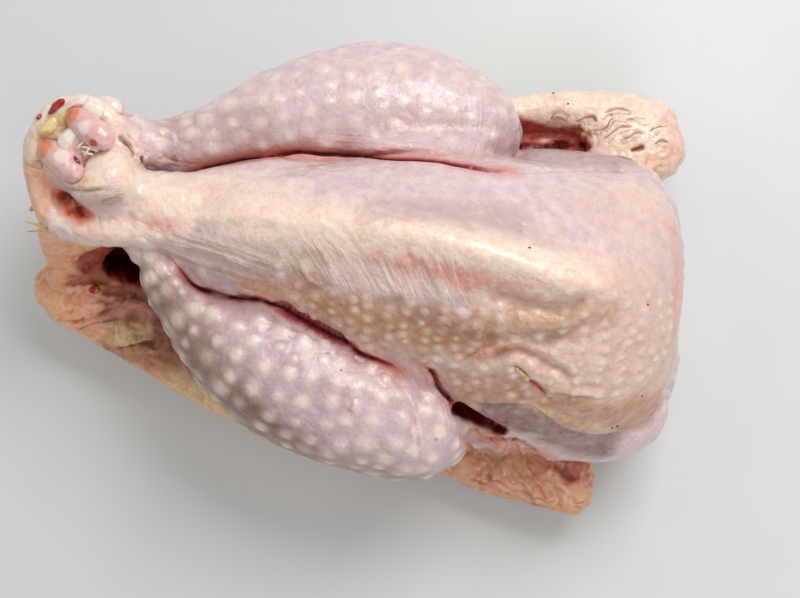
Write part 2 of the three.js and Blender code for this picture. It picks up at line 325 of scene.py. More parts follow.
def reach_of(clay, line, reach):
    """The points within reach of a line: which they are, their distance, the place and the taper there."""
    inside = boxed_in(clay.at, line, reach)
    distance, place = nearest_on_line(clay.at[inside], line)
    close = distance < reach
    inside, distance, place = inside[close], distance[close], place[close]
    return inside, distance, place, fade_ends(place / max(len(line) - 1, 1))


def groove(clay, normals, line, width, depth, lip=0.25):
    """A soft valley along a line, with a low swell on both sides. A negative depth makes a ridge."""
    which, distance, _, taper = reach_of(clay, line, 4 * width)
    valley = np.exp(-((distance / width) ** 2))
    swell = lip * np.exp(-(((distance - 1.9 * width) / width) ** 2))
    clay.at[which] += normals[which] * (depth * taper * (swell - valley))[:, None]


def lap(clay, normals, line, width, depth, lip=0.5, low_side=1, sink=0.7):
    """One fold of skin lapping over another: a crisp lip, and beside it skin that dips under the lip.
    Low side 1 is the line's left and -1 its right. Sink says how far the dip goes straight down."""
    which, distance, place, taper = reach_of(clay, line, 5 * width)
    ahead = np.gradient(line, axis=0)[place]
    sideways = np.cross(normals[which], ahead)
    sideways /= np.maximum(np.linalg.norm(sideways, axis=1), 1e-6)[:, None]
    side = np.einsum("ij,ij->i", clay.at[which] - line[place], sideways) * low_side
    dip = np.where(side > 0, np.exp(-side / width), np.exp(-((side / (0.35 * width)) ** 2)))
    rise = np.where(side > 0, 0, np.exp(-((distance / (1.6 * width)) ** 2)))
    down = normals[which] * -(1 - sink) + np.array([0, 0, -sink])
    clay.at[which] += down * (depth * dip * taper)[:, None] + normals[which] * (lip * rise * taper)[:, None]


def raise_bank(clay, surface, plan, height, near_side, far_side):
    """Lifts the skin along a plan line, gently on the line's left and steeply on its right."""
    line = drop(surface, trace(plan, 0.6))
    which, _, place, taper = reach_of(clay, line, 3 * far_side)
    side = left_of(clay.at[which], line, place)
    share = np.exp(-((side / np.where(side > 0, far_side, near_side)) ** 2))
    climb = clay.at[which, 2] - line[place, 2]
    on_top = 1 - ease((np.abs(climb) - 9) / 6)
    clay.at[which, 2] += height * share * taper * on_top


def soften(clay, line, inner, outer, passes):
    """Rounds the skin off within reach of a line."""
    amount = near(clay.at, line, inner, outer)
    clay.at += (clay.blur(clay.at, passes) - clay.at) * amount[:, None]
    clay.write()


def into_valley(surface, plan, reach=3.0, span=2.5):
    """A plan line moved sideways to where the skin folds in most, so that it runs where two forms meet."""
    line = trace(plan, 2.0)
    ahead = np.gradient(line, axis=0)
    ahead /= np.linalg.norm(ahead, axis=1)[:, None]
    sideways = np.stack([-ahead[:, 1], ahead[:, 0]], axis=1)
    step = 0.5
    shifts = np.arange(-reach, reach + step / 2, step)
    chosen = np.zeros(len(line))
    for number, (place, side) in enumerate(zip(line, sideways)):
        heights = []
        for shift in np.concatenate([shifts - span, shifts, shifts + span]):
            hit = look_down(surface, place + side * shift)
            heights.append(0.0 if hit is None else hit[2])
        before, here, after = np.array(heights).reshape(3, -1)
        fold = np.minimum(before - here, 4) + np.minimum(after - here, 4) - 0.03 * shifts**2
        chosen[number] = shifts[int(np.argmax(fold))]
    padded = np.pad(chosen, 5, mode="edge")
    typical = np.median(np.lib.stride_tricks.sliding_window_view(padded, 11), axis=1)
    even = np.convolve(np.pad(typical, 8, mode="edge"), np.ones(17) / 17, "valid")
    return line + sideways * even[:, None]


# Where the skin is drawn into lines: the middle line of the patch in plan, the way the lines run at
# its start and at its end, inner and outer reach, spacing and height of the folds, strength of fine lines.
DRAWN_SKIN = [
    ([[-84, 17.5], [-70, 13.5], [-55, 9.5], [-45, 5]], (0.96, -0.26), (0.93, -0.36), 5, 12, 2.8, 0.5, 0.6),
    (
        [[-38, 11], [-26, 9.5], [-13, 6.5], [0, 5], [13, 4.5], [24, 3]],
        (0.53, -0.85), (0.36, -0.93), 5, 12, 3.4, 0.6, 0.6,
    ),
    ([[30, 76], [33, 66], [32, 55], [25, 46]], (0.25, -0.97), (-0.6, -0.8), 5, 13, 2.8, 0.35, 0.6),
    ([[-30, 56], [-10, 54], [5, 51.5], [18, 49]], (0.99, -0.1), (0.99, -0.15), 2, 7, 2.6, 0.35, 0.5),
    ([[0, -25], [8, -33], [12, -42], [13, -54]], (0.6, -0.8), (0.05, -1.0), 5, 13, 2.8, 0.4, 0.7),
    ([[66, -47], [80, -43], [91, -36], [97, -28]], (0.9, 0.3), (0.5, 0.85), 8, 16, 3.4, 0.8, 0.7),
    ([[24, -47], [38, -56], [54, -64], [68, -70]], (0.35, -0.93), (0.5, -0.86), 10, 16, 5.0, 2.2, 0.15),
    ([[-131, 0], [-117, -1], [-100, 0]], (0.99, 0.1), (0.97, 0.25), 6, 12, 4.0, 1.3, 0.15),
    ([[-118, -12], [-104, -13], [-90, -17], [-78, -22]], (0.97, -0.1), (0.97, -0.25), 6, 13, 4.6, 1.3, 0.15),
    ([[-104, 31], [-100, 34], [-95, 37]], (0.99, 0.0), (0.95, 0.2), 5, 10, 2.4, 0.35, 0.5),
    ([[-122, 16], [-116, 16], [-112, 17]], (0.9, 0.4), (0.9, 0.4), 6, 12, 3.4, 0.9, 0.15),
]


def drawn_lines(points, surface):
    """Where each point lies in its patch of drawn skin: across the lines, along them, how strongly
    drawn it is there, the spacing and height of the folds, and the strength of the fine lines."""
    found = np.zeros((len(points), 6))
    second = np.zeros(len(points))
    for number, (plan, first_way, last_way, inner, outer, *looks) in enumerate(DRAWN_SKIN):
        line = drop(surface, even_places(trace(plan, 1.5), 40))
        inside = boxed_in(points, line, outer)
        distance, place = nearest_on_line(points[inside], line)
        share = np.linspace(0, 1, len(line))[:, None]
        way = np.array(first_way) * (1 - share) + np.array(last_way) * share
        way /= np.linalg.norm(way, axis=1)[:, None]
        square = np.stack([-way[:, 1], way[:, 0]], axis=1)
        steps = np.diff(line[:, :2], axis=0)
        walked = np.concatenate([[0], np.cumsum((steps * (square[1:] + square[:-1]) / 2).sum(axis=1))])
        offset = points[inside][:, :2] - line[place][:, :2]
        across = walked[place] + (offset * square[place]).sum(axis=1) + 40 * number
        along = (offset * way[place]).sum(axis=1)
        taper = fade_ends(place / len(line), 0.12)
        amount = (1 - ease((distance - inner) / (outer - inner))) * (0.35 + 0.65 * taper)
        better = amount > found[inside, 2]
        second[inside] = np.where(better, found[inside, 2], np.maximum(second[inside], amount))
        row = np.stack([across, along, amount], axis=1)
        found[inside[better], :3] = row[better]
        found[inside[better], 3:] = looks
    found[:, 2] = np.maximum(found[:, 2] - second, 0)
    return found


# Every other fold, groove and hollow, in the order they are pressed in: the tool, the step of its line,
# the line, then the tool's sizes.
FOLDS = [
    (lap, 0.6, [[39, 41.5], [51.5, 43.5], [65, 45], [80, 45.5], [95, 47]], 1.8, 0.9, 0.4, 1),
    # The lower side of the breast.
    (groove, 0.6, [[24, -1], [34, -2.5], [44, -5], [53, -6], [62, -4], [68, -1]], 3.2, 2.2, 0.15),
    (groove, 0.6, [[7, -10], [17, -11], [27, -12.5], [38, -12], [49, -11], [60, -13]], 4.0, -1.3, 0),
    (lap, 0.6, [[18, -25], [21, -23.5], [25.5, -20.5], [30, -18], [36, -16.5], [43, -15]], 1.6, 1.0, 0.4, 1),
    (groove, 0.6, [[26, -23], [30.5, -19.5], [35.5, -17.5], [40.5, -16]], 0.8, -0.8, 0),
    (
        groove, 0.6,
        [[28, -26.5], [31, -23], [35, -20.5], [39.5, -20], [45, -21.5], [51, -25], [61, -30]],
        1.9, 1.9, 0.3,
    ),
    (
        lap, 0.6,
        [[37, -23], [41.5, -25.5], [45.5, -29], [50, -32.5], [54, -34], [61, -35], [74, -36.5]],
        1.6, 1.5, 1.2, -1,
    ),
    (lap, 0.6, BREAST_SHELF, 1.5, 1.8, 0.8, -1),
    (groove, 0.6, [[18, -38], *WING_GAP], 2.6, 6.5, 0.15),
    # Single folds that stand out on the belly, and the dip beside the keel's tail end.
    (groove, 0.6, [[-82.5, 18], [-71.5, 16.5], [-62, 13.5], [-55, 10.5], [-48, 7]], 0.9, -1.0, -0.3),
    (groove, 0.6, [[-34.5, 11.5], [-33, 7.5], [-30, 4], [-26, 2.5]], 0.8, -0.9, -0.3),
    (groove, 0.6, [[-29, 27], [-20, 21], [-15, 15], [-10, 8], [-6, 1]], 1.1, 0.35, 0.4),
    (groove, 0.6, [[-2, 24], [1, 18], [3, 12], [5, 6]], 0.9, 0.25, 0.3),
    (groove, 0.6, [[-38, 20], [-50, 22], [-62, 22], [-74, 22]], 2.4, 0.7, 0.2),
    # The left wing's long folds along its lower edge and the hollow at its cut end.
    *[
        (
            groove, 0.6,
            [[22, -62 - low], [31, -66 - low], [40, -69.5 - low], [48, -73.5 - low], [62, -77 - low]],
            0.9, 1.1, 0.5,
        )
        for low in (0, 3.2, 6.5)
    ],
    (groove, 0.6, [[60, -60], [63.5, -64], [66.5, -69]], 2.6, 3.0, 0.3),
    (groove, 0.6, [[29, -50], [36.5, -51.5], [43, -51.5]], 1.0, 1.6, 0.5),
    # The right wing's curls round the elbow.
    *[
        (lap, 0.4, curl, 0.8 + 0.1 * (number % 3), 1.1, 0.5, -1 if number % 2 else 1, 0.2)
        for number, curl in enumerate(WING_CURLS)
    ],
    (groove, 0.4, WING_HOLLOW, 1.0, 2.6, 0.3),
    # The vent, its lower lip, and the folds of the tail.
    (lap, 0.6, [[-129, 6], [-121.5, 6.5], [-114, 7], [-109.5, 9]], 1.5, 1.5, 0.8, 1),
    (groove, 0.6, [[-119, -1], [-115, -1], [-104.5, 0.5], [-98, 2]], 1.1, 1.3, 0.4),
    (groove, 0.6, [[-131, -6.5], [-124, -8], [-116, -6.5], [-111, -3], [-102.5, -0.5]], 1.1, 1.5, 0.5),
    (groove, 0.6, TAIL_PLEAT, 1.0, 1.2, 0.5),
    (groove, 0.6, [[-110, -18], [-104, -17], [-99, -16.5], [-92, -16]], 1.2, 1.8, 0.5),
    (groove, 0.6, [[-105, -5], [-100, -6], [-95, -6.5]], 2.6, 3.0, 0.2),
    (groove, 0.6, [[-110, -13], [-104.5, -13.5], [-99.5, -12.5]], 3.5, -1.4, 0),
    (groove, 0.4, [[-122, 14], [-120, 15.5]], 0.9, 1.6, 0.3),
    (groove, 0.4, VENT_HOLE, 5.0, 11.0, 0),
    # The cut ends of the legs: the pocket's floor, the flap over its edge, and two slits in the collar.
    (groove, 0.4, [[-121, 36.5, 67], [-118, 34, 67], [-114, 30, 72]], 3.6, -3.5, 0),
    (lap, 0.6, POCKET_FLAP, 1.4, 1.5, 0.6, -1),
    (groove, 0.4, COLLAR_SLITS[0], 0.8, 1.5, 0.6),
    (groove, 0.4, COLLAR_SLITS[1], 0.8, 1.2, 0.6),
]

# Loose and crumpled places: line, inner and outer reach, size of the crumples, height.
CRUMPLES = [
    (RIGHT_WING, 10, 22, 6.0, 0.35),
    ([[72, 64, 40], [86, 62, 46], [98, 58, 46]], 5, 12, 3.6, 1.0),
    (LEFT_WING, 8, 20, 4.0, 2.0),
    ([[-80, -4, 26], [-112, -2, 26], [-138, 4, 28]], 14, 30, 5.0, 1.7),
    ([[-97, 50, 62], [-86, 48, 66]], 4, 9, 3.0, 0.9),
    ([[-104, 56, 78], [-92, 54, 70], [-78, 55, 64]], 8, 16, 3.6, 0.5),
    ([[-127, 24, 68], [-130, 36, 74], [-129, 50, 80], [-122, 61, 84], [-112, 66, 85]], 7, 12, 5.0, 0.6),
    ([[22, -45, 64], [32, -49, 56], [44, -54, 44]], 5, 11, 4.0, 1.2),
    ([[100, -30, 40], [103, 10, 36], [96, 40, 40]], 14, 30, 5.0, 1.3),
    ([[-118, 22, 76], [-105, 20, 80], [-92, 24, 82]], 7, 12, 3.5, 0.6),
    ([[-122, 20, 58], [-118, 16, 45]], 8, 14, 5.0, 0.8),
]


def gaping(crease):
    """The middle of the left crease, where it gapes."""
    return crease[len(crease) // 2:len(crease) * 5 // 6]


def press_folds(clay, surface):
    """Presses in the creases of the legs and all the folds, and gives the creases' lines in plan."""
    normals = clay.normals()

    def lay(plan, step=0.6):
        return drop(surface, trace(plan, step))

    right = into_valley(surface, RIGHT_CREASE, 2.0)
    left = into_valley(surface, LEFT_CREASE)
    knee = into_valley(surface, LEFT_KNEE_CREASE, 3.0)
    lap(clay, normals, lay(right), width=1.5, depth=3.6, lip=0.4, low_side=1, sink=0.9)
    beside_thigh = right[len(right) * 3 // 5:]
    groove(clay, normals, lay(beside_thigh), 1.0, 2.2, 0.1)
    lap(clay, normals, lay(left), width=1.7, depth=4.0, lip=0.6, low_side=-1, sink=0.9)
    groove(clay, normals, lay(gaping(left)), 2.4, 4.5, 0.2)
    lap(clay, normals, lay(knee), 1.6, 3.5, 0.5, 1)
    for tool, step, plan, *sizes in FOLDS:
        tool(clay, normals, lay(plan, step), *sizes)
    clay.write()
    return right, left, knee


def crumple(clay, surface):
    """Crumples the loose places, draws the taut ones into ridges and makes all the skin a little uneven."""
    push = np.zeros(len(clay.at))
    for number, (line, inner, outer, size, height) in enumerate(CRUMPLES):
        amount = near(clay.at, line, inner, outer)
        chosen = np.flatnonzero(amount > 0.01)
        swell = creased(clay.at[chosen], size, 20 + 10 * number) - 0.55
        push[chosen] += amount[chosen] * swell * height
    across, along, amount, spacing, height, _ = drawn_lines(clay.at, surface).T
    chosen = np.flatnonzero(amount > 0.02)
    wander = noise(clay.at[chosen], 9, 71)
    fold = across[chosen] / spacing[chosen] + 0.5 * wander
    place = np.stack([fold, along[chosen] / 13, 0 * wander], axis=1)
    ridge = (1 - np.abs(noise(place, 1.0, 72))) ** 4 - 0.25
    push[chosen] += amount[chosen] * height[chosen] * ridge
    push += 0.3 * noise(clay.at, 11, 90) + 0.08 * noise(clay.at, 3.2, 91)
    clay.at += clay.normals() * push[:, None]
    clay.write()


def make_skin_form():
    """The skin's mesh, smoothed, with its laps, grooves and wrinkles."""
    clay = Clay(fine_copy("chicken", "skin", SKIN_VOXEL))
    clay.smooth(80)
    raise_bank(clay, clay.surface(), THIGH_BANK, height=8.0, near_side=2.0, far_side=5.5)
    clay.write()
    soften(clay, drop(clay.surface(), trace(THIGH_BANK, 2.0)), inner=2.5, outer=5.5, passes=40)
    surface = clay.surface()
    creases = press_folds(clay, surface)
    crumple(clay, surface)
    return clay, surface, creases


# ---------------------------------------------------------------- feather follicles

# Rows of follicles on each form: spine, spacing along and across, the arc they cover in degrees
# from straight up, the bump's half width and height, and how pale it shows.
FOLLICLE_ROWS = {
    "right leg": (RIGHT_LEG, 8.4, 7.8, (-115, 115), 2.4, 0.65, 0.85),
    "left leg": (LEFT_LEG, 8.2, 8.0, (-115, 115), 2.6, 0.8, 1.0),
    "upper breast": (BREAST, 8.0, 6.6, (-120, -4), 1.8, 0.25, 0.25),
    "flank": (BREAST, 6.0, 5.0, (2, 54), 1.55, 0.75, 0.7),
    "lower flank": (BREAST, 7.0, 6.0, (56, 120), 1.6, 0.3, 0.3),
    "rump": (RUMP, 9.0, 8.5, (90, 270), 1.7, 0.35, 0.6),
}
JITTER = 0.15  # how far a follicle strays from its row, as a share of the spacing
ON_LEG = 31  # a leg's follicles lie nearer than this to the spine of a leg
OFF_LEG = 26  # and the body's lie further than this from both
TAUT = 0.25  # skin drawn more strongly than this shows no follicles


def rows_on_form(surface, spine, along, across, arc, rng):
    """Staggered places round a form, found by looking in at its spine from outside."""
    line = trace(spine, 1.0)
    stations = int(np.linalg.norm(np.diff(line, axis=0), axis=1).sum() / along)
    line = even_places(line, stations * 4)
    ahead = np.gradient(line, axis=0)
    outside = 90
    places = []
    for station in range(stations):
        index = station * 4 + 2
        forward = ahead[index] / np.linalg.norm(ahead[index])
        side = np.cross(forward, [0, 0, 1])
        side /= np.linalg.norm(side)
        up = np.cross(side, forward)
        top = surface.ray_cast(Vector(line[index] + up * outside), Vector(-up))[3]
        radius = 26 if top is None else max(outside - top, 18)
        turn = math.degrees(across / radius)
        first = arc[0] + turn * 0.5 * (station % 2)
        for angle in np.arange(first, arc[1], turn):
            spread = math.radians(angle + rng.normal(0, JITTER) * turn)
            out = side * math.sin(spread) + up * math.cos(spread)
            middle = line[index] + forward * rng.normal(0, JITTER) * along
            hit, facing, _, _ = surface.ray_cast(Vector(middle + out * outside), Vector(-out))
            if hit is not None and facing.dot(Vector(out)) > 0.2:
                places.append(hit[:])
    return np.array(places)


def find_follicles(surface):
    """Centres, half widths, heights and paleness of all follicles."""
    rng = np.random.default_rng(5)
    legs = [trace(RIGHT_LEG, 3), trace(LEFT_LEG, 3)]
    kept = []
    for name, (spine, along, across, arc, width, height, pale) in FOLLICLE_ROWS.items():
        places = rows_on_form(surface, spine, along, across, arc, rng)
        to_leg = np.minimum(*(nearest_on_line(places, leg)[0] for leg in legs))
        on_leg = name.endswith("leg")
        places = places[to_leg < ON_LEG] if on_leg else places[to_leg > OFF_LEG]
        if not on_leg:
            places = places[drawn_lines(places, surface)[:, 2] < TAUT]
        for x, y, z in places:
            wide = width * rng.uniform(0.65, 1.2)
            kept.append([x, y, z, wide, height * rng.uniform(0.5, 1.3), pale * rng.uniform(0.5, 1.1)])
    return np.array(kept)


def follicle_bumps(points, follicles):
    """How far each point is raised by its nearest follicle, and how pale it is there."""
    tree = KDTree(len(follicles))
    for number, follicle in enumerate(follicles):
        tree.insert(follicle[:3], number)
    tree.balance()
    found = [tree.find(point) for point in points.tolist()]
    number = np.array([item[1] for item in found])
    distance = np.array([item[2] for item in found])
    width, height, pale = follicles[number, 3], follicles[number, 4], follicles[number, 5]
    plateau = 1 / (1 + (distance / width) ** 4)
    return plateau * height, plateau * pale


# ---------------------------------------------------------------- skin tones

LEFT_RIDGE = [
    [-87, 33, 84], [-62, 30, 90], [-34, 23, 101], [-7, 18, 107], [20, 11, 111], [46, 9, 111], [67, 5, 102],
]

# Where each tone shows: (line in space or in plan, inner reach, outer reach, strength).
TONES = {
    "peach": [
        (LEFT_RIDGE, 4, 17, 1.0),
        ([[-38, 12, 96], [-20, 8, 98], [0, 5, 98], [16, 3, 98]], 4, 10, 0.7),
        ([[-88, 39, 82], [-63, 39, 82], [-40, 33, 92]], 3, 14, 0.7),
        ([[-110, 21, 79], [-98, 22, 81], [-84, 25, 83]], 5, 12, 0.8),
        ([[-80, 16, 78], [-66, 10, 80], [-52, 4, 84], [-40, 1, 86]], 1, 6, 0.7),
        ([[-126, 22, 66], [-127, 30, 74], [-122, 24, 74]], 4, 12, 0.7),
        ([[60, -30, 86], [80, -38, 72], [92, -30, 66]], 5, 15, 0.5),
        ([[84, 36, 74], [94, 30, 66]], 4, 14, 0.5),
        ([[98, 66, 36], [105, 62, 34], [105, 54, 38], [97, 50, 44]], 5, 14, 0.9),
    ],
    "cream": [
        ([[34, 76, 32], [50, 75, 35], [68, 73, 38], [87, 69, 43], [100, 62, 44]], 12, 22, 1.0),
        ([[70, 60, 46], [84, 58, 48], [96, 54, 48]], 6, 12, 0.9),
        ([[-109, 44, 89], [-101, 46, 89], [-92, 45, 82]], 6, 13, 0.9),
        ([[-98, 54, 80], [-100, 61, 84]], 4, 9, 0.7),
        ([[-127, 48, 80], [-128, 56, 83], [-122, 63, 86], [-112, 66, 87], [-103, 63, 86]], 5, 9, 1.0),
        ([[12, 10, 111], [30, 9, 112], [50, 8, 112], [64, 5, 106]], 2, 7, 0.8),
    ],
    "buff": [
        ([[0, -18, 86], [30, -24, 90], [60, -24, 90], [84, -24, 78], [96, -14, 70]], 14, 26, 0.9),
        ([[30, 0, 103], [60, -2, 100], [84, 2, 88]], 6, 16, 0.8),
        ([[84, 20, 90], [96, 18, 74]], 8, 20, 0.5),
        ([[-38, -6, 84], [-10, -14, 86], [20, -14, 92]], 6, 14, 0.6),
        ([[72, 34, 88], [90, 34, 76]], 8, 18, 0.5),
    ],
    "grey": [
        ([[-66, 14, 87], [-55, 14, 91], [-41, 11, 94], [-30, 9, 96]], 3, 10, 0.7),
        # Along the left leg's lower edge: greyer skin and painted shade.
        ([[-92, 8, 74], [-86, -2, 75], [-80, -14, 72], [-72, -28, 64], [-58, -44, 55]], 2, 11, 0.9),
        ([[17, 22, 104], [33, 20, 105], [54, 17, 99]], 2, 9, 0.35),
        # Further along the left leg's lower edge: greyer skin and painted shade.
        ([[-80, -18, 66], [-72, -32, 64], [-58, -46, 60], [-40, -56, 56], [-20, -66, 50]], 4, 15, 1.0),
        ([[-109, 33, 87], [-100, 33, 88], [-93, 35, 86]], 2, 7, 0.8),
        ([[30, -41, 71], [43, -46, 66], [58, -52, 58]], 4, 9, 0.4),
    ],
    "tan": [
        # Along the right leg's lower side at its crease: tan skin, darkened there as painted shade.
        ([[-85, 47, 70], [-60, 50, 66], [-36, 54, 65], [-18, 53, 66], [0, 50, 70], [16, 49, 73]], 1, 6, 0.6),
        ([[22, 48, 72], [30, 48, 68], [35, 52, 60]], 2, 8, 0.5),
        # On the lower breast flank: tan skin, darker there also as painted shade.
        ([[-34, -1, 89], [-17, -8, 89], [7, -14, 93], [30, -16, 96]], 5, 13, 0.9),
        ([[40, -10, 100], [56, -11, 98], [66, -8, 98]], 3, 10, 0.6),
        ([[-80, 8, 76], [-68, 6, 79], [-56, 3, 83], [-40, 0, 86]], 2, 9, 0.85),
        # On the lower breast flank: tan skin, darker there also as painted shade.
        ([[21, -33, 78], [42, -35, 81], [56, -40, 77], [75, -44, 70], [90, -41, 65]], 5, 13, 0.8),
        (LEFT_WING, 16, 26, 1.0),
        ([[22, -46, 64], [32, -50, 56], [44, -55, 44]], 3, 9, 1.0),
        ([[34, 79, 18], [60, 82, 20], [90, 78, 22]], 5, 14, 0.6),
        ([[52, 72, 30], [64, 70, 31]], 2, 6, 0.6),
    ],
    "amber": [
        ([[-140, 5, 30], [-118, 2, 32], [-96, -6, 32]], 18, 34, 1.0),
        (LEFT_WING, 14, 24, 0.5),
        ([[-127, 44, 76], [-129, 34, 74], [-130, 26, 66], [-128, 20, 56]], 3, 9, 0.75),
        ([[-119, 37, 70], [-118, 32, 68]], 3, 8, 0.8),
        ([[-96, -22, 26], [-70, -36, 22], [-40, -48, 18]], 16, 30, 1.0),
        ([[-128, 18, 56], [-122, 14, 46], [-116, 14, 50], [-108, 18, 62]], 7, 13, 1.0),
        ([[-113, 17, 40], [-108, 16, 36], [-100, 20, 34]], 6, 14, 1.0),
    ],
    # Greyish-brown painted shade: along the left leg's lower edge, where the skin is also browner, along the
    # right wing's far edge, and in strips beside the left crease, on the belly and under the keel and the
    # breast's shelf.
    "shade_and_brown_skin": [
        ([[-86, -4, 69], [-77, -15, 72], [-70, -26, 73], [-57, -41, 71], [-40, -54, 66]], 7, 19, 0.95),
        ([[-40, -54, 66], [-10, -64, 60], [10, -68, 56]], 3, 15, 0.65),
        ([[-20, 4, 92], [-40, 8, 91], [-58, 8, 86]], 1, 6, 0.3),
        ([[32, -13, 98], [46, -14, 98], [60, -12, 96]], 2, 7, 0.35),
        ([[46, 80, 26], [60, 81, 28], [74, 80, 28], [88, 77, 30]], 0.5, 4, 0.4),
        ([[-34, -6, 86], [-18, -14, 85], [0, -22, 84], [14, -26, 84]], 1, 6, 0.4),
        ([[-4, -6, 98], [10, -9, 98], [24, -12, 97]], 2, 8, 0.4),
        ([[34, -42, 70], [46, -44, 70], [58, -50, 60]], 2, 9, 0.45),
    ],
    "rose": [
        # Under the keel: rose skin, lightened as painted light against the shade the keel casts.
        ([[2, 9, 105], [14, 7, 105], [28, 3, 105]], 2, 7, 0.8),
        ([[99, 24, 70], [101, 10, 72], [100, -4, 72]], 2, 10, 0.6),
        ([[-85, 25, 84], [-77, 24, 86]], 0, 6, 0.8),
        ([[-10, 10, 103], [-4, 9, 104], [6, 7, 105]], 0, 5, 0.6),
        ([[14, 6, 106], [30, 4, 106], [44, 2, 104]], 1, 6, 0.55),
        ([[24, -20, 90], [37, -20, 94], [48, -25, 91]], 1, 6, 0.4),
        ([[33, -51, 55], [48, -56, 44], [67, -64, 29]], 3, 11, 0.8),
        ([[102, 66, 38], [103, 57, 42], [98, 50, 44]], 3, 9, 0.45),
        ([[-118, -2, 35], [-104, -1, 34], [-96, -2, 33]], 2, 7, 0.5),
        ([[-70, 43, 70], [-50, 46, 72], [-30, 49, 70]], 0, 4, 0.5),
        ([[-106, 22, 80], [-112, 22, 78]], 1, 6, 0.35),
    ],
    # Wet brown skin on the rump and beside the left wing's gap, darkened as painted shade where the left leg
    # and the breast shade it.
    "brown": [
        ([[-104, -5, 36], [-95, -9, 35], [-86, -17, 34], [-78, -26, 30]], 6, 13, 1.0),
        ([[-109, -18, 29], [-95, -20, 32], [-84, -26, 34]], 4, 10, 0.7),
        ([[-60, -34, 30], [-75, -24, 30], [-90, -16, 30]], 8, 20, 0.5),
        ([[21, -38, 66], [32, -42, 66], [46, -44, 66]], 2, 8, 0.5),
    ],
    "lilac": [
        # Along the left leg: its lilac skin, made darker as painted shade on the side turned from the light.
        ([[-68, -10, 62], [-54, -20, 60], [-25, -34.5, 56], [0, -43, 53]], 24, 31, 0.95),
        ([[-6, -32, 78], [10, -40, 78]], 6, 16, 0.4),
        ([[-20, 62, 74], [-50, 62, 74], [4, 62, 74]], 3, 14, 0.4),
        ([[46, 58, 46], [60, 56, 50], [80, 52, 56]], 3, 9, 0.7),
        ([[24, 62, 66], [34, 60, 58], [38, 56, 50]], 6, 15, 0.8),
    ],
    "plum": [
        ([[34, -42, 70], [46, -44, 70], [58, -50, 60], [72, -52, 54]], 4, 11, 1.0),
        ([[45, 54, 50], [60, 53, 53], [80, 50, 56]], 5, 11, 0.4),
        ([[-9, 26, 104], [13, 27, 103], [40, 25, 100]], 2, 10, 0.35),
        ([[-80, 58, 66], [-66, 60, 70], [-54, 61, 74]], 4, 14, 0.5),
        # Painted shade over the left leg, which lies turned away from the light.
        ([[-50, -25, 76], [-38, -29, 78], [-26, -34, 78]], 3, 13, 0.3),
    ],
    "fat": [
        ([[-126, 55, 83], [-122, 59, 85], [-118, 60, 85]], 1, 5, 0.9),
        ([[-110, -13, 33], [-104, -13, 34], [-99, -12, 34]], 2, 7, 0.7),
        ([[-84, -33, 27], [-66, -41, 26], [-50, -46, 26]], 4, 12, 0.7),
        ([[45, -38.5, 78], [56, -42, 75], [66, -46, 70], [75, -48, 64]], 0, 3.5, 0.8),
        ([[-98, 55, 82], [-97, 53, 80], [-95, 49, 80]], 0, 1.6, 0.9),
        ([[-92, 46, 78], [-92, 49, 74]], 0, 1.4, 0.8),
        ([[-109, 37, 89], [-101, 37, 91]], 0, 3, 0.6),
        ([[15, 14, 107], [13, 17, 105]], 0, 3, 0.6),
        ([[-131, 30, 72], [-131, 25, 65]], 1, 5, 0.6),
    ],
    "scarlet": [
        # The pocket's orange-red lining, made brighter than raw flesh as painted light against the pocket's
        # own shade.
        ([[-120.5, 36.5, 71], [-118, 34, 71], [-115, 30, 74], [-112, 28, 76]], 1.5, 6.0, 0.9),
    ],
    "raw": [
        ([[44, 64, 36], [53, 67, 26], [61, 66, 26], [67, 64, 28], [70, 59, 34]], 5, 9, 1.0),
        ([[46, 60, 34], [54, 61, 32], [62, 61, 32], [70, 59, 32]], 3, 6, 1.0),
        ([[-122, 11, 38], [-116, 11, 36]], 2, 7, 0.6),
        ([[-113, 16, 40], [-108, 15, 34], [-100, 13, 32]], 6, 9, 1.0),
        ([[60, -60, 34], [64, -66, 30]], 1, 6, 0.6),
        ([[-106, 26, 66], [-112, 30, 66]], 2, 8, 0.7),
    ],
    # Painted shade, a near-black red, in the darkest depths: the vent, the gap beside the left wing and the
    # recess behind the right one.
    "pit": [
        (VENT_HOLE, 5.0, 8.5, 1.0),
        ([[20, -38.5], [25, -41.5], [29, -44]], 1.8, 4.6, 1.0),
        ([[29, -44], [33, -46], [37, -48]], 0.6, 3.0, 1.0),
        ([[46, 60.2, 30], [56, 60.4, 30], [63, 60, 31], [69, 59.3, 35], [72, 58.5, 39]], 1.3, 2.8, 1.0),
    ],
}

# Dark, bloody lines in the depths of folds and hollows: (line, reach, strength).
BLOOD_LINES = [
    ([[18, -38], *WING_GAP], 3.8, 0.9),
    ([[29, -50], [36.5, -51.5], [43, -51.5], [52, -57]], 1.6, 0.6),
    (WING_HOLLOW, 1.8, 0.8),
    ([[44, 60, 33], [48, 59.8, 30], [54, 60, 30], [60, 60.2, 30], [66, 60.5, 30]], 2.4, 1.0),
    ([[-115, 32, 71], [-112.5, 28, 75]], 1.8, 0.9),
    ([[-111, 17, 36], [-107, 16, 32], [-101, 14, 31]], 8.5, 1.0),
    ([[-112, 46.5, 86.5], [-110.5, 46, 86]], 1.6, 0.8),
]


# Thin brown lines where loose skin is puckered, each with a soft painted shadow on one side: at the right
# wing's curls, the tail and the cut leg ends.
PUCKERS = [*WING_CURLS, TAIL_PLEAT, *COLLAR_SLITS, [[-104, 31.5], [-99.5, 33], [-95, 35]]]


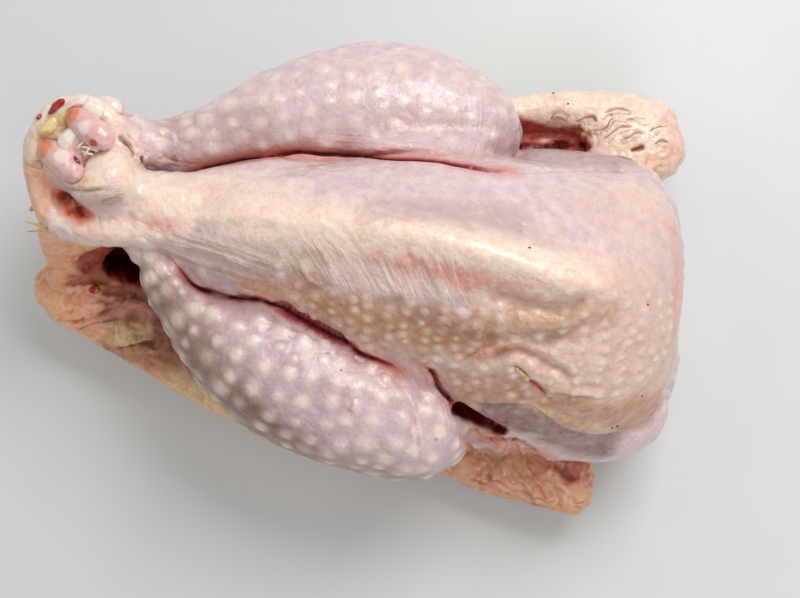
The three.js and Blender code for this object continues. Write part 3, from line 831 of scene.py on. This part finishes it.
def line_field(points, lines, reach=3.0):
    """How far each point lies to the left of the nearest of some lines, less than 0 on its right, and
    how strongly that line shows there."""
    offset = np.full(len(points), reach)
    amount = np.zeros(len(points))
    nearest = np.full(len(points), reach)
    for line in lines:
        inside = boxed_in(points, line, reach)
        distance, place = nearest_on_line(points[inside], line)
        side = left_of(points[inside], line, place)
        taper = fade_ends(place / (len(line) - 1))
        closer = distance < nearest[inside]
        chosen = inside[closer]
        nearest[chosen] = distance[closer]
        offset[chosen] = side[closer]
        amount[chosen] = (taper * ease(reach - distance))[closer]
    return offset, amount


def paint_tones(clay, surface, follicles, creases):
    """Paints every amount that the skin's material reads."""
    sculpted = clay.surface()
    painted = {}
    for name, marks in TONES.items():
        amount = np.zeros(len(clay.at))
        for line, inner, outer, strength in marks:
            if len(line[0]) == 2:
                line = drop(sculpted, trace(line, 2.0))
            amount = np.maximum(amount, strength * near(clay.at, line, inner, outer, 2.0))
        clay.paint(name, amount)
        painted[name] = amount
    right, left, knee = creases
    lines = [(right[6:], 2.4, 1.0), (left[6:], 2.6, 1.0), (gaping(left), 4.2, 1.0), (knee, 2.0, 0.9)]
    blood = np.zeros(len(clay.at))
    for plan, reach, strength in lines + BLOOD_LINES:
        line = drop(sculpted, trace(plan, 1.0))
        distance, place = nearest_on_line(clay.at, line)
        share = place / len(line)
        narrowing = 1 - ease(np.minimum(share, 1 - share) * 8)
        distance = distance + 0.35 * noise(clay.at, 4, 33) + 0.8 * reach * narrowing
        blood = np.maximum(blood, strength * (1 - ease((distance - 0.3 * reach) / (0.7 * reach))))
    clay.paint("blood", blood)
    blush = np.zeros(len(clay.at))
    for plan, reach, strength in ((right[8:], 8, 0.7), (left[6:], 5.5, 0.7), (knee, 4, 0.6)):
        distance, _ = nearest_on_line(clay.at, drop(sculpted, trace(plan, 1.0)))
        blush = np.maximum(blush, strength * (1 - ease(distance / reach)))
    clay.paint("blush", blush)
    _, pale = follicle_bumps(clay.at, follicles)
    clay.paint("follicle", pale * (1 - np.minimum(painted["raw"] * 1.5, 1)))
    # Lines for the painted shade in the gaps where the legs meet the body.
    splits = [drop(sculpted, trace(plan, 0.5)) for plan in (right[3:], left[5:], knee)]
    offset, amount = line_field(clay.at, splits)
    clay.keep("split", offset)
    clay.paint("splitting", amount)
    puckers = [drop(sculpted, trace(plan, 0.4)) for plan in PUCKERS]
    offset, amount = line_field(clay.at, puckers)
    clay.keep("pucker", offset)
    clay.paint("puckered", amount)
    across, along, amount, _, _, fine = drawn_lines(clay.at, surface).T
    clay.paint("drawn", amount * fine)
    clay.keep("across", across)
    clay.keep("along", along)
    # How far each point lies below the skin round it. The material paints a reddish-brown shade from it into
    # folds and hollows: partly the redder skin of creases, partly painted shade.
    hollow = np.einsum("ij,ij->i", clay.blur(clay.at, 12) - clay.at, clay.normals())
    clay.paint("fold", (hollow - 0.05) / 0.5)


# ---------------------------------------------------------------- materials

def colour(red, green, blue):
    """A colour picked on a screen, from 0 to 255, as the linear colour that shaders work in."""
    linear = [((c / 255 + 0.055) / 1.055) ** 2.4 if c > 10 else c / 3294.6 for c in (red, green, blue)]
    return (*linear, 1.0)


class Nodes:
    """Short ways to add and join the nodes of one material or group."""

    def __init__(self, tree):
        self.tree = tree

    def add(self, kind, **settings):
        node = self.tree.nodes.new(kind)
        for name, value in settings.items():
            setattr(node, name, value)
        return node

    def join(self, source, target):
        self.tree.links.new(source, target)

    def feed(self, socket, value):
        if isinstance(value, bpy.types.NodeSocket):
            self.join(value, socket)
        else:
            socket.default_value = value

    def mix(self, amount, first, second, blend="MIX"):
        node = self.add("ShaderNodeMix", data_type="RGBA", blend_type=blend)
        self.feed(node.inputs["Factor"], amount)
        self.feed(node.inputs["A"], first)
        self.feed(node.inputs["B"], second)
        return node.outputs["Result"]

    def math(self, operation, first, second=0.0, clamp=False):
        node = self.add("ShaderNodeMath", operation=operation, use_clamp=clamp)
        self.feed(node.inputs[0], first)
        self.feed(node.inputs[1], second)
        return node.outputs[0]

    def attribute(self, name):
        return self.add("ShaderNodeAttribute", attribute_name=name).outputs["Fac"]

    def millimetres(self):
        """The place on the object, in millimetres."""
        place = self.add("ShaderNodeTexCoord").outputs["Object"]
        scaled = self.add("ShaderNodeVectorMath", operation="SCALE")
        self.join(place, scaled.inputs[0])
        scaled.inputs["Scale"].default_value = 1 / MM
        return scaled.outputs[0]

    def noise(self, place, size, detail=2.0, roughness=0.5, distortion=0.0):
        node = self.add("ShaderNodeTexNoise")
        self.join(place, node.inputs["Vector"])
        node.inputs["Scale"].default_value = 1 / size
        node.inputs["Detail"].default_value = detail
        node.inputs["Roughness"].default_value = roughness
        node.inputs["Distortion"].default_value = distortion
        return node.outputs["Fac"]

    def cells(self, place, size, feature="SMOOTH_F1"):
        node = self.add("ShaderNodeTexVoronoi", feature=feature)
        self.join(place, node.inputs["Vector"])
        node.inputs["Scale"].default_value = 1 / size
        return node.outputs["Distance"]

    def span(self, value, low, high, out_low=0.0, out_high=1.0):
        node = self.add("ShaderNodeMapRange")
        self.feed(node.inputs["Value"], value)
        node.inputs["From Min"].default_value = low
        node.inputs["From Max"].default_value = high
        node.inputs["To Min"].default_value = out_low
        node.inputs["To Max"].default_value = out_high
        return node.outputs["Result"]

    def relief(self, height, strength, depth):
        node = self.add("ShaderNodeBump")
        self.join(height, node.inputs["Height"])
        node.inputs["Strength"].default_value = strength
        node.inputs["Distance"].default_value = depth * MM
        return node.outputs["Normal"]


def group_tree(name, inputs, outputs):
    """An empty node group with float inputs (name: value) and outputs (name: socket kind)."""
    tree = bpy.data.node_groups.new(name, "ShaderNodeTree")
    for socket, value in inputs.items():
        made = tree.interface.new_socket(socket, in_out="INPUT", socket_type="NodeSocketFloat")
        made.default_value = value
    for socket, kind in outputs.items():
        tree.interface.new_socket(socket, in_out="OUTPUT", socket_type=kind)
    nodes = Nodes(tree)
    return nodes, nodes.add("NodeGroupInput"), nodes.add("NodeGroupOutput")


def make_wet_grain():
    """Fine relief of raw tissue: pebbly grain, faint crossing lines and soft lumps."""
    nodes, given, result = group_tree(
        "Wet grain",
        {"Grain size": 0.8, "Lump size": 4.0, "Lumps": 0.5},
        {"Height": "NodeSocketFloat", "Mottle": "NodeSocketFloat"},
    )
    place = nodes.millimetres()
    scaled = nodes.add("ShaderNodeVectorMath", operation="SCALE")
    nodes.join(place, scaled.inputs[0])
    nodes.join(nodes.math("DIVIDE", 1.0, given.outputs["Grain size"]), scaled.inputs["Scale"])
    grain = nodes.cells(scaled.outputs[0], 1.0)
    fine = nodes.noise(scaled.outputs[0], 1.4, 3.0, 0.6, 0.6)
    lumped = nodes.add("ShaderNodeVectorMath", operation="SCALE")
    nodes.join(place, lumped.inputs[0])
    nodes.join(nodes.math("DIVIDE", 1.0, given.outputs["Lump size"]), lumped.inputs["Scale"])
    lumps = nodes.noise(lumped.outputs[0], 1.0, 2.0, 0.5, 0.4)
    grain_part = nodes.math("MULTIPLY", grain, 0.35)
    fine_part = nodes.math("MULTIPLY", fine, 0.5)
    lump_part = nodes.math("MULTIPLY", lumps, given.outputs["Lumps"])
    height = nodes.math("ADD", nodes.math("ADD", grain_part, fine_part), lump_part)
    nodes.join(height, result.inputs["Height"])
    nodes.join(lumps, result.inputs["Mottle"])
    return nodes.tree


WET_GRAIN = make_wet_grain()


def wet_material(name, subsurface, radius, roughness, coat, coat_roughness):
    """A material with a Principled shader set for moist tissue, and its nodes."""
    material = bpy.data.materials.new(name)
    material.use_nodes = True
    nodes = Nodes(material.node_tree)
    shader = material.node_tree.nodes["Principled BSDF"]
    shader.inputs["Roughness"].default_value = roughness
    shader.inputs["Subsurface Weight"].default_value = subsurface
    shader.inputs["Subsurface Radius"].default_value = radius
    shader.inputs["Subsurface Scale"].default_value = 1.0 * MM
    shader.inputs["Coat Weight"].default_value = coat
    shader.inputs["Coat Roughness"].default_value = coat_roughness
    return material, nodes, shader


def grain_in(nodes, grain_size, lump_size, lumps):
    grain = nodes.add("ShaderNodeGroup", node_tree=WET_GRAIN)
    grain.inputs["Grain size"].default_value = grain_size
    grain.inputs["Lump size"].default_value = lump_size
    grain.inputs["Lumps"].default_value = lumps
    return grain.outputs["Height"], grain.outputs["Mottle"]


def make_skin_material():
    material, nodes, shader = wet_material("Raw skin", 0.25, (4.0, 1.6, 1.1), 0.42, 0.4, 0.14)
    grain, mottle = grain_in(nodes, 0.75, 4.5, 0.9)
    place = nodes.millimetres()
    tint = nodes.mix(nodes.span(mottle, 0.35, 0.65), colour(213, 186, 190), colour(228, 204, 206))
    tones = [
        ("peach", colour(250, 228, 211), colour(246, 213, 192)),
        ("buff", colour(228, 198, 180), colour(216, 180, 160)),
        ("grey", colour(218, 198, 178), colour(200, 176, 156)),
        ("tan", colour(202, 154, 122), colour(180, 124, 94)),
        ("cream", colour(247, 229, 211), colour(238, 208, 186)),
        ("amber", colour(248, 190, 146), colour(230, 156, 112)),
        ("lilac", colour(208, 180, 188), colour(194, 166, 171)),
        ("plum", colour(172, 142, 142), colour(146, 112, 110)),
        # Greyish-brown painted shade, with browner skin on the left leg's edge.
        ("shade_and_brown_skin", colour(154, 122, 102), colour(124, 92, 76)),
        ("scarlet", colour(248, 150, 112), colour(228, 96, 70)),
        # Brown wet skin, darkened as painted shade.
        ("brown", colour(168, 100, 68), colour(126, 66, 44)),
        ("rose", colour(240, 178, 164), colour(220, 140, 124)),
        ("fat", colour(238, 214, 168), colour(216, 176, 116)),
        ("raw", colour(190, 88, 72), colour(150, 54, 44)),
    ]
    blotch = nodes.noise(place, 5.0, 3.0, 0.6, 1.0)
    for name, light, dark in tones:
        shade = nodes.mix(nodes.span(blotch, 0.38, 0.66), light, dark)
        amount = nodes.attribute(name)
        ragged = nodes.math("ADD", amount, nodes.span(mottle, 0.3, 0.7, -0.15, 0.15))
        held = nodes.math("MULTIPLY", nodes.span(amount, 0.0, 0.15), ragged, clamp=True)
        tint = nodes.mix(held, tint, shade)
    # Fine folds of drawn skin: a painted highlight on the crests and painted shade in the valleys, following
    # the same ridges as the relief.
    across = nodes.math("DIVIDE", nodes.attribute("across"), 1.7)
    along = nodes.math("DIVIDE", nodes.attribute("along"), 12.0)
    threads = nodes.add("ShaderNodeCombineXYZ")
    nodes.join(across, threads.inputs["X"])
    nodes.join(along, threads.inputs["Y"])
    crest = nodes.noise(threads.outputs[0], 1.0, 2.5, 0.55, 0.3)
    drawn = nodes.attribute("drawn")
    pale = nodes.math("MULTIPLY", nodes.span(crest, 0.52, 0.68), nodes.math("MULTIPLY", drawn, 0.42))
    valley_shade = nodes.math("MULTIPLY", nodes.span(crest, 0.46, 0.32), nodes.math("MULTIPLY", drawn, 0.35))
    tint = nodes.mix(pale, tint, colour(250, 234, 220))
    tint = nodes.mix(valley_shade, tint, colour(186, 132, 108))
    follicle = nodes.math("MULTIPLY", nodes.attribute("follicle"), 0.78)
    tint = nodes.mix(follicle, tint, colour(242, 225, 210))
    # Painted shade in folds and hollows, reddish brown, from how far each point lies below the skin round
    # it.
    tint = nodes.mix(nodes.math("MULTIPLY", nodes.attribute("fold"), 0.45), tint, colour(186, 112, 88))
    tint = nodes.mix(nodes.attribute("blush"), tint, colour(206, 112, 96))
    # Hair-thin veins.
    veins = nodes.noise(place, 9.0, 4.0, 0.65, 2.0)
    offset = nodes.math("ABSOLUTE", nodes.math("SUBTRACT", veins, 0.5))
    thread = nodes.math("SUBTRACT", 1.0, nodes.math("MULTIPLY", offset, 26.0), clamp=True)
    tint = nodes.mix(nodes.math("MULTIPLY", thread, 0.13), tint, colour(190, 96, 92))
    tint = nodes.mix(nodes.attribute("blood"), tint, colour(140, 22, 18))
    # Crisp dark red lines where the legs meet the body, partly the crease's own dark red and partly painted
    # shade in the gaps, and thin brown ones where loose skin is puckered.
    offset = nodes.math("ABSOLUTE", nodes.attribute("split"))
    split = nodes.math("MULTIPLY", nodes.span(offset, 0.9, 0.2), nodes.attribute("splitting"))
    tint = nodes.mix(nodes.math("MULTIPLY", split, 0.9), tint, colour(92, 10, 8))
    # Near-black red painted shade in the darkest depths.
    tint = nodes.mix(nodes.attribute("pit"), tint, colour(72, 6, 5))
    side = nodes.attribute("pucker")
    puckered = nodes.attribute("puckered")
    # A pucker's brown hairline, and beside it on one side a soft painted shadow.
    hairline = nodes.span(nodes.math("ABSOLUTE", side), 0.5, 0.1)
    shadow = nodes.math("MULTIPLY", nodes.span(side, 2.2, 0.0), nodes.span(side, -0.2, 0.1))
    pucker_line_and_shadow = nodes.math("MAXIMUM", hairline, nodes.math("MULTIPLY", shadow, 0.4))
    pucker_line_and_shadow = nodes.math("MULTIPLY", pucker_line_and_shadow, puckered)
    tint = nodes.mix(nodes.math("MULTIPLY", pucker_line_and_shadow, 0.45), tint, colour(186, 126, 92))
    nodes.join(tint, shader.inputs["Base Color"])
    # Raw and bloody places have no film of water, and the depths hardly shine at all.
    bloody = nodes.math("MAXIMUM", nodes.attribute("blood"), nodes.attribute("raw"))
    bloody = nodes.math("MAXIMUM", bloody, nodes.attribute("pit"))
    dry = nodes.math("SUBTRACT", 1.0, bloody, clamp=True)
    nodes.join(nodes.math("MULTIPLY", dry, 0.3), shader.inputs["Coat Weight"])
    shine = nodes.math("SUBTRACT", 0.5, nodes.math("MULTIPLY", nodes.attribute("pit"), 0.45))
    nodes.join(shine, shader.inputs["Specular IOR Level"])
    rough = nodes.noise(place, 2.2, 3.0, 0.6)
    nodes.join(nodes.span(rough, 0.3, 0.7, 0.26, 0.52), shader.inputs["Roughness"])
    folds = nodes.math("MULTIPLY", crest, nodes.math("MULTIPLY", drawn, 1.2))
    pebbles = nodes.math("MULTIPLY", nodes.noise(place, 2.6, 1.5, 0.5, 0.3), 0.55)
    fine = nodes.math("ADD", nodes.math("MULTIPLY", grain, 0.2), pebbles)
    lip = nodes.math("MULTIPLY", nodes.span(side, -2.2, -0.1), nodes.span(side, 0.2, -0.1))
    edges = nodes.math("MULTIPLY", nodes.math("MULTIPLY", lip, puckered), 1.1)
    height = nodes.math("ADD", nodes.math("ADD", fine, folds), edges)
    nodes.join(nodes.relief(height, 1.0, 1.0), shader.inputs["Normal"])
    return material


def make_cartilage_material():
    material, nodes, shader = wet_material("Cartilage", 0.3, (3.0, 1.8, 1.4), 0.3, 0.5, 0.1)
    height, mottle = grain_in(nodes, 1.2, 3.0, 0.5)
    tint = nodes.mix(nodes.span(mottle, 0.3, 0.7), colour(234, 196, 192), colour(222, 168, 162))
    tint = nodes.mix(nodes.attribute("white"), tint, colour(241, 220, 212))
    tint = nodes.mix(nodes.attribute("spot"), tint, colour(222, 132, 92))
    tint = nodes.mix(nodes.attribute("red"), tint, colour(196, 84, 70))
    tint = nodes.mix(nodes.attribute("dark"), tint, colour(120, 62, 46))
    nodes.join(tint, shader.inputs["Base Color"])
    nodes.join(nodes.relief(height, 0.25, 0.2), shader.inputs["Normal"])
    return material


def make_plain_wet(name, light, dark, size, roughness, coat, subsurface=0.3):
    """Fat, sinew, clot and quill: two close colours in a fine mottle."""
    material, nodes, shader = wet_material(name, subsurface, (2.0, 1.2, 0.8), roughness, coat, 0.1)
    height, mottle = grain_in(nodes, size * 0.5, size, 0.6)
    nodes.join(nodes.mix(nodes.span(mottle, 0.35, 0.65), light, dark), shader.inputs["Base Color"])
    nodes.join(nodes.relief(height, 0.3, 0.2), shader.inputs["Normal"])
    return material


# ---------------------------------------------------------------- knuckles and small pieces

# The left leg's cut end, seen end on: an orange spot at the outer end of each condyle, a pale pad
# and sinews between them, and a dark pit and a bloody spot where sinews were cut.
LEFT_SPOTS = [[-113.5, 62, 89], [-124.5, 51, 85]]
LEFT_PALE = [[-117, 47.5, 89], [-108, 57, 91]]
RIGHT_PALE = [[-107, 69, 77], [-105, 70, 79], [-103, 69, 81], [-101, 68, 82], [-99, 66, 82], [-110, 66, 76]]
LEFT_PITS = [[-111.5, 46.5, 87.5]]
LEFT_RED = [[-105.5, 51.5, 92]]


def make_knuckle(node, spots, pads, pits, reds):
    knuckle = fine_copy(node, node + "_gristle", KNUCKLE_VOXEL)
    clay = Clay(knuckle)
    clay.smooth(30)
    normals = clay.normals()
    push = 0.25 * noise(clay.at, 4, 3) + 0.1 * noise(clay.at, 1.5, 4)
    for pit in pits:
        away = np.linalg.norm(clay.at - pit, axis=1)
        push -= 1.6 * np.exp(-((away / 1.3) ** 2))
    for spot in spots:
        away = np.linalg.norm(clay.at - spot, axis=1)
        push += 0.5 * np.exp(-((away / 3.0) ** 4))
    clay.at += normals * push[:, None]
    clay.write()
    layers = {"spot": (spots, 3.7), "white": (pads, 3.0), "dark": (pits, 1.5), "red": (reds, 1.8)}
    for name, (places, reach) in layers.items():
        amount = np.zeros(len(clay.at))
        for place in places:
            away = np.linalg.norm(clay.at - place, axis=1) + 0.6 * noise(clay.at, 2.5, 8)
            amount = np.maximum(amount, 1 - ease((away - reach * 0.7) / (reach * 0.5)))
        clay.paint(name, amount)
    shade_smooth(knuckle)
    return knuckle


def own(piece, material, replaced=()):
    piece.data.materials.clear()
    piece.data.materials.append(material)
    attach(piece, "root")
    if replaced:
        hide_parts(*replaced)


def make_strand(name, path, sizes, material, sides=10):
    """A round strand along a path. Sizes are its radii at even places from start to end."""
    line = trace(path, 0.35)
    walked = np.linspace(0, 1, len(line))
    radii = np.interp(walked, np.linspace(0, 1, len(sizes)), sizes)
    radii *= np.sqrt(np.clip(np.minimum(walked, 1 - walked) * len(line) / 2.5, 0.05, 1))
    ahead = np.gradient(line, axis=0)
    corners = []
    for centre, forward, radius in zip(line, ahead, radii):
        side = np.cross(forward, [0.3, 0.2, 1])
        side /= np.linalg.norm(side)
        up = np.cross(side, forward)
        up /= np.linalg.norm(up)
        for turn in np.linspace(0, 2 * math.pi, sides, endpoint=False):
            corners.append((centre + (side * math.cos(turn) + up * math.sin(turn)) * radius) * MM)
    faces = [list(range(sides))[::-1], list(range(len(corners) - sides, len(corners)))]
    for ring in range(len(line) - 1):
        for k in range(sides):
            a, b = ring * sides + k, ring * sides + (k + 1) % sides
            faces.append([a, b, b + sides, a + sides])
    mesh = bpy.data.meshes.new(name)
    mesh.from_pydata([list(corner) for corner in corners], [], faces)
    mesh.update()
    strand = add_piece(name, mesh)
    shade_smooth(strand)
    own(strand, material)


def make_blob(name, middle, sizes, ahead, material, lumps=0.15, seed=0):
    """A soft uneven lump: half sizes along the way ahead, across it and upwards."""
    mesh = bpy.data.meshes.new(name)
    made = bmesh.new()
    bmesh.ops.create_icosphere(made, subdivisions=4, radius=1)
    made.to_mesh(mesh)
    made.free()
    blob = add_piece(name, mesh)
    clay = Clay(blob)
    ball = clay.at * MM
    scale = 1 + lumps * noise(ball + seed, 0.7, seed) + 0.5 * lumps * noise(ball + seed, 0.3, seed + 1)
    forward = np.array(ahead, dtype=float) / np.linalg.norm(ahead)
    side = np.cross([0, 0, 1], forward)
    side /= np.linalg.norm(side)
    frame_of_blob = np.stack([forward, side, np.cross(forward, side)])
    clay.at = np.array(middle) + (ball * scale[:, None] * sizes) @ frame_of_blob
    clay.write()
    shade_smooth(blob)
    own(blob, material)


def make_specks(surface):
    """Tiny dark stumps of pin feathers in the skin, all in one piece."""
    plan = [
        [43, 14], [85.5, -35.5], [76, -47], [77.8, -46.3], [-20.5, -26.5], [85, -4],
        [59, 80], [80, 70], [64, 75],
    ]
    mesh = bpy.data.meshes.new("pin_feathers")
    made = bmesh.new()
    for number, place in enumerate(drop(surface, plan)):
        radius = (0.42, 0.3, 0.36)[number % 3]
        ball = bmesh.ops.create_icosphere(made, subdivisions=2, radius=radius * MM)
        middle = Vector(place * MM)
        for vertex in ball["verts"]:
            vertex.co.x *= 1.4
            vertex.co += middle
    made.to_mesh(mesh)
    made.free()
    specks = add_piece("pin_feathers", mesh)
    shade_smooth(specks)
    return specks


def make_small_pieces(surface):
    sinew = make_plain_wet("Sinew", colour(250, 236, 214), colour(240, 214, 184), 2.0, 0.35, 0.4)
    pale_fat = make_plain_wet("Pale fat", colour(247, 238, 228), colour(240, 222, 205), 2.5, 0.4, 0.35)
    yellow_fat = make_plain_wet("Yellow fat", colour(240, 220, 164), colour(232, 204, 140), 2.5, 0.4, 0.35)
    clot = make_plain_wet("Clotted blood", colour(176, 18, 30), colour(140, 10, 18), 1.5, 0.16, 0.8, 0.1)
    film = make_plain_wet("Wet film", colour(206, 136, 108), colour(180, 104, 80), 3.0, 0.05, 1.0, 0.1)
    dry_skin = make_plain_wet("Dried skin", colour(222, 190, 160), colour(198, 158, 128), 2.0, 0.45, 0.2)
    quill = make_plain_wet("Quill", colour(226, 196, 140), colour(196, 152, 92), 1.5, 0.35, 0.3)
    red_quill = make_plain_wet("Blood quill", colour(190, 96, 66), colour(160, 70, 48), 1.5, 0.35, 0.3)
    dark = make_plain_wet("Pin feather", colour(92, 66, 58), colour(64, 44, 40), 0.6, 0.5, 0.2, 0.0)

    # Between the condyles, and the fat round the cut end.
    make_blob("white_pad", [-115.5, 54, 85.5], [4.6, 3.0, 2.6], (-0.7, -0.8, -0.3), pale_fat, seed=3)
    fibres = [
        ([[-111, 51, 86.5], [-109, 50.5, 89], [-106.5, 50, 88.5], [-104.5, 49.5, 87]], (0.5, 0.4, 0.7)),
        ([[-110.5, 49.5, 87], [-108.5, 48.5, 88.5], [-106, 48, 88.5]], (0.45, 0.4, 0.5)),
        ([[-112, 50, 88], [-110, 52, 88.5], [-107.5, 53.5, 89]], (0.4, 0.45, 0.35)),
        ([[-109.5, 47.5, 88], [-107.5, 50, 89.3], [-106.5, 52, 89.5]], (0.35, 0.4, 0.3)),
    ]
    for number, (path, sizes) in enumerate(fibres, 1):
        make_strand(f"sinew_{number}", path, sizes, sinew)
    make_blob("fat_knob", [-106.5, 64.5, 85.5], [4.6, 3.6, 3.6], (-0.8, 0.5, 0.1), pale_fat, 0.12, seed=9)
    make_blob("fat_lump", [-122.5, 58.5, 84], [4.4, 2.2, 2.0], (0.8, 0.6, 0.2), yellow_fat, 0.2, seed=14)

    # Blood and wetness.
    make_blob("clot", [-119.5, 65, 87.2], [3.6, 1.3, 1.5], (0.75, 0.65, 0.1), clot, 0.25, 21)
    make_blob("clot_drop", [-126, 62, 84], [1.3, 0.8, 0.9], (0.6, 0.8, 0.1), clot, 0.2, 22)
    drop_place, film_place = drop(surface, [[-116, 4.5], [-125, 7]])
    make_blob("blood_spot", drop_place, [2.1, 1.8, 0.9], (1, 0.2, 0), clot, 0.2, 23)
    make_blob("wet_film", film_place, [3.4, 2.0, 0.8], (1, 0.1, 0), film, 0.25, 24)

    # Broken quills: one on the breast with its sheath, tags and shafts at the tail end.
    stub = drop(surface, [[39.5, -25.5], [42.5, -28], [44.5, -30]]) + [0, 0, 0.4]
    make_strand("stub_sheath", stub, (0.5, 0.95, 0.7), quill)
    shaft = drop(surface, [[44.5, -30], [48.5, -33], [53, -36.5]]) + [0, 0, 0.3]
    make_strand("stub_shaft", shaft, (0.6, 0.45, 0.2), red_quill)
    tags = [
        ([[-126, 46, 77], [-129.5, 46.5, 77.5], [-132.5, 47, 77.5]], (2.8, 1.8, 0.5)),
        ([[-127, 36, 73], [-130, 37, 73.5], [-132.5, 38.5, 73]], (2.6, 1.7, 0.5)),
        ([[-128, 32, 70], [-131, 32, 69], [-133, 30.5, 68]], (2.2, 1.4, 0.4)),
    ]
    for number, (path, sizes) in enumerate(tags, 1):
        make_strand(f"skin_tag_{number}", path, sizes, dry_skin)
    shafts = [
        ([[-135, 27, 68], [-129, 25.5, 70.5], [-121, 24.5, 73.5]], (0.2, 0.55, 0.6)),
        ([[-135, 23.5, 66.5], [-130, 23.5, 68.5], [-125, 24, 71]], (0.2, 0.5, 0.5)),
    ]
    for number, (path, sizes) in enumerate(shafts, 1):
        make_strand(f"quill_{number}", path, sizes, quill)
    own(make_specks(surface), dark)


# ---------------------------------------------------------------- putting it together

def make_bird():
    clay, surface, creases = make_skin_form()
    follicles = find_follicles(surface)
    raised, _ = follicle_bumps(clay.at, follicles)
    clay.at += clay.normals() * raised[:, None]
    clay.at[:, 2] = np.maximum(clay.at[:, 2], 0)
    clay.write()
    skin = clay.piece
    share = SKIN_TRIANGLES / triangle_count(skin.data)
    bake_modifier(skin, "DECIMATE", ratio=share)
    finished = Clay(skin)
    paint_tones(finished, surface, follicles, creases)
    shade_smooth(skin)
    own(skin, make_skin_material(), ["chicken"])
    cartilage = make_cartilage_material()
    left = make_knuckle("left_knuckle", LEFT_SPOTS, LEFT_PALE, LEFT_PITS, LEFT_RED)
    right = make_knuckle("right_knuckle", [], RIGHT_PALE, [], [])
    own(left, cartilage, ["left_knuckle"])
    own(right, cartilage, ["right_knuckle"])
    make_small_pieces(finished.surface())


# ---------------------------------------------------------------- table, light and camera

def make_table():
    half = 900
    mesh = bpy.data.meshes.new("table")
    corners = [(-half, -half, 0), (half, -half, 0), (half, half, 0), (-half, half, 0)]
    mesh.from_pydata([[c * MM for c in corner] for corner in corners], [], [(0, 1, 2, 3)])
    table = add_piece("table", mesh)
    table.location.z = -0.2 * MM
    material = bpy.data.materials.new("Pale table")
    material.use_nodes = True
    nodes = Nodes(material.node_tree)
    shader = material.node_tree.nodes["Principled BSDF"]
    cloud = nodes.noise(nodes.millimetres(), 60.0, 2.0)
    nodes.join(nodes.mix(cloud, colour(214, 216, 215), colour(222, 224, 223)), shader.inputs["Base Color"])
    shader.inputs["Roughness"].default_value = 0.6
    mesh.materials.append(material)


def add_softbox(name, place, size, power, warmth=(1.0, 1.0, 1.0)):
    light = bpy.data.lights.new(name, "AREA")
    light.size = size * MM
    light.energy = power
    light.color = warmth
    lamp = add_piece(name, light)
    lamp.location = [c * MM for c in place]
    aim = Vector((0, 0, 50 * MM)) - lamp.location
    lamp.rotation_euler = aim.to_track_quat("-Z", "Y").to_euler()


def make_light():
    scene = bpy.context.scene
    world = bpy.data.worlds.new("Studio")
    world.use_nodes = True
    background = world.node_tree.nodes["Background"]
    background.inputs["Color"].default_value = (0.99, 1.0, 1.0, 1.0)
    background.inputs["Strength"].default_value = 0.34
    scene.world = world
    add_softbox("key", (230, 400, 650), 400, 4.2, (1.0, 0.995, 0.99))
    add_softbox("fill", (260, -520, 440), 500, 1.3)
    add_softbox("low fill", (-600, 200, 400), 600, 0.7)
    scene.view_settings.view_transform = "Standard"
    scene.view_settings.exposure = 0.0


def make_camera():
    """The camera looks down on the bird, tipped a little towards its left side."""
    distance, height, tilt, lens = 550, 50, 87, 66.87
    camera = bpy.data.cameras.new("camera")
    camera.lens = lens
    camera.sensor_width = 36
    holder = add_piece("camera", camera)
    back = Vector((0, -math.cos(math.radians(tilt)), math.sin(math.radians(tilt))))
    holder.location = (Vector((0, 0, height)) + back * distance) * MM
    holder.rotation_euler = back.to_track_quat("Z", "Y").to_euler()
    bpy.context.scene.camera = holder


make_bird()
make_table()
make_light()
make_camera()
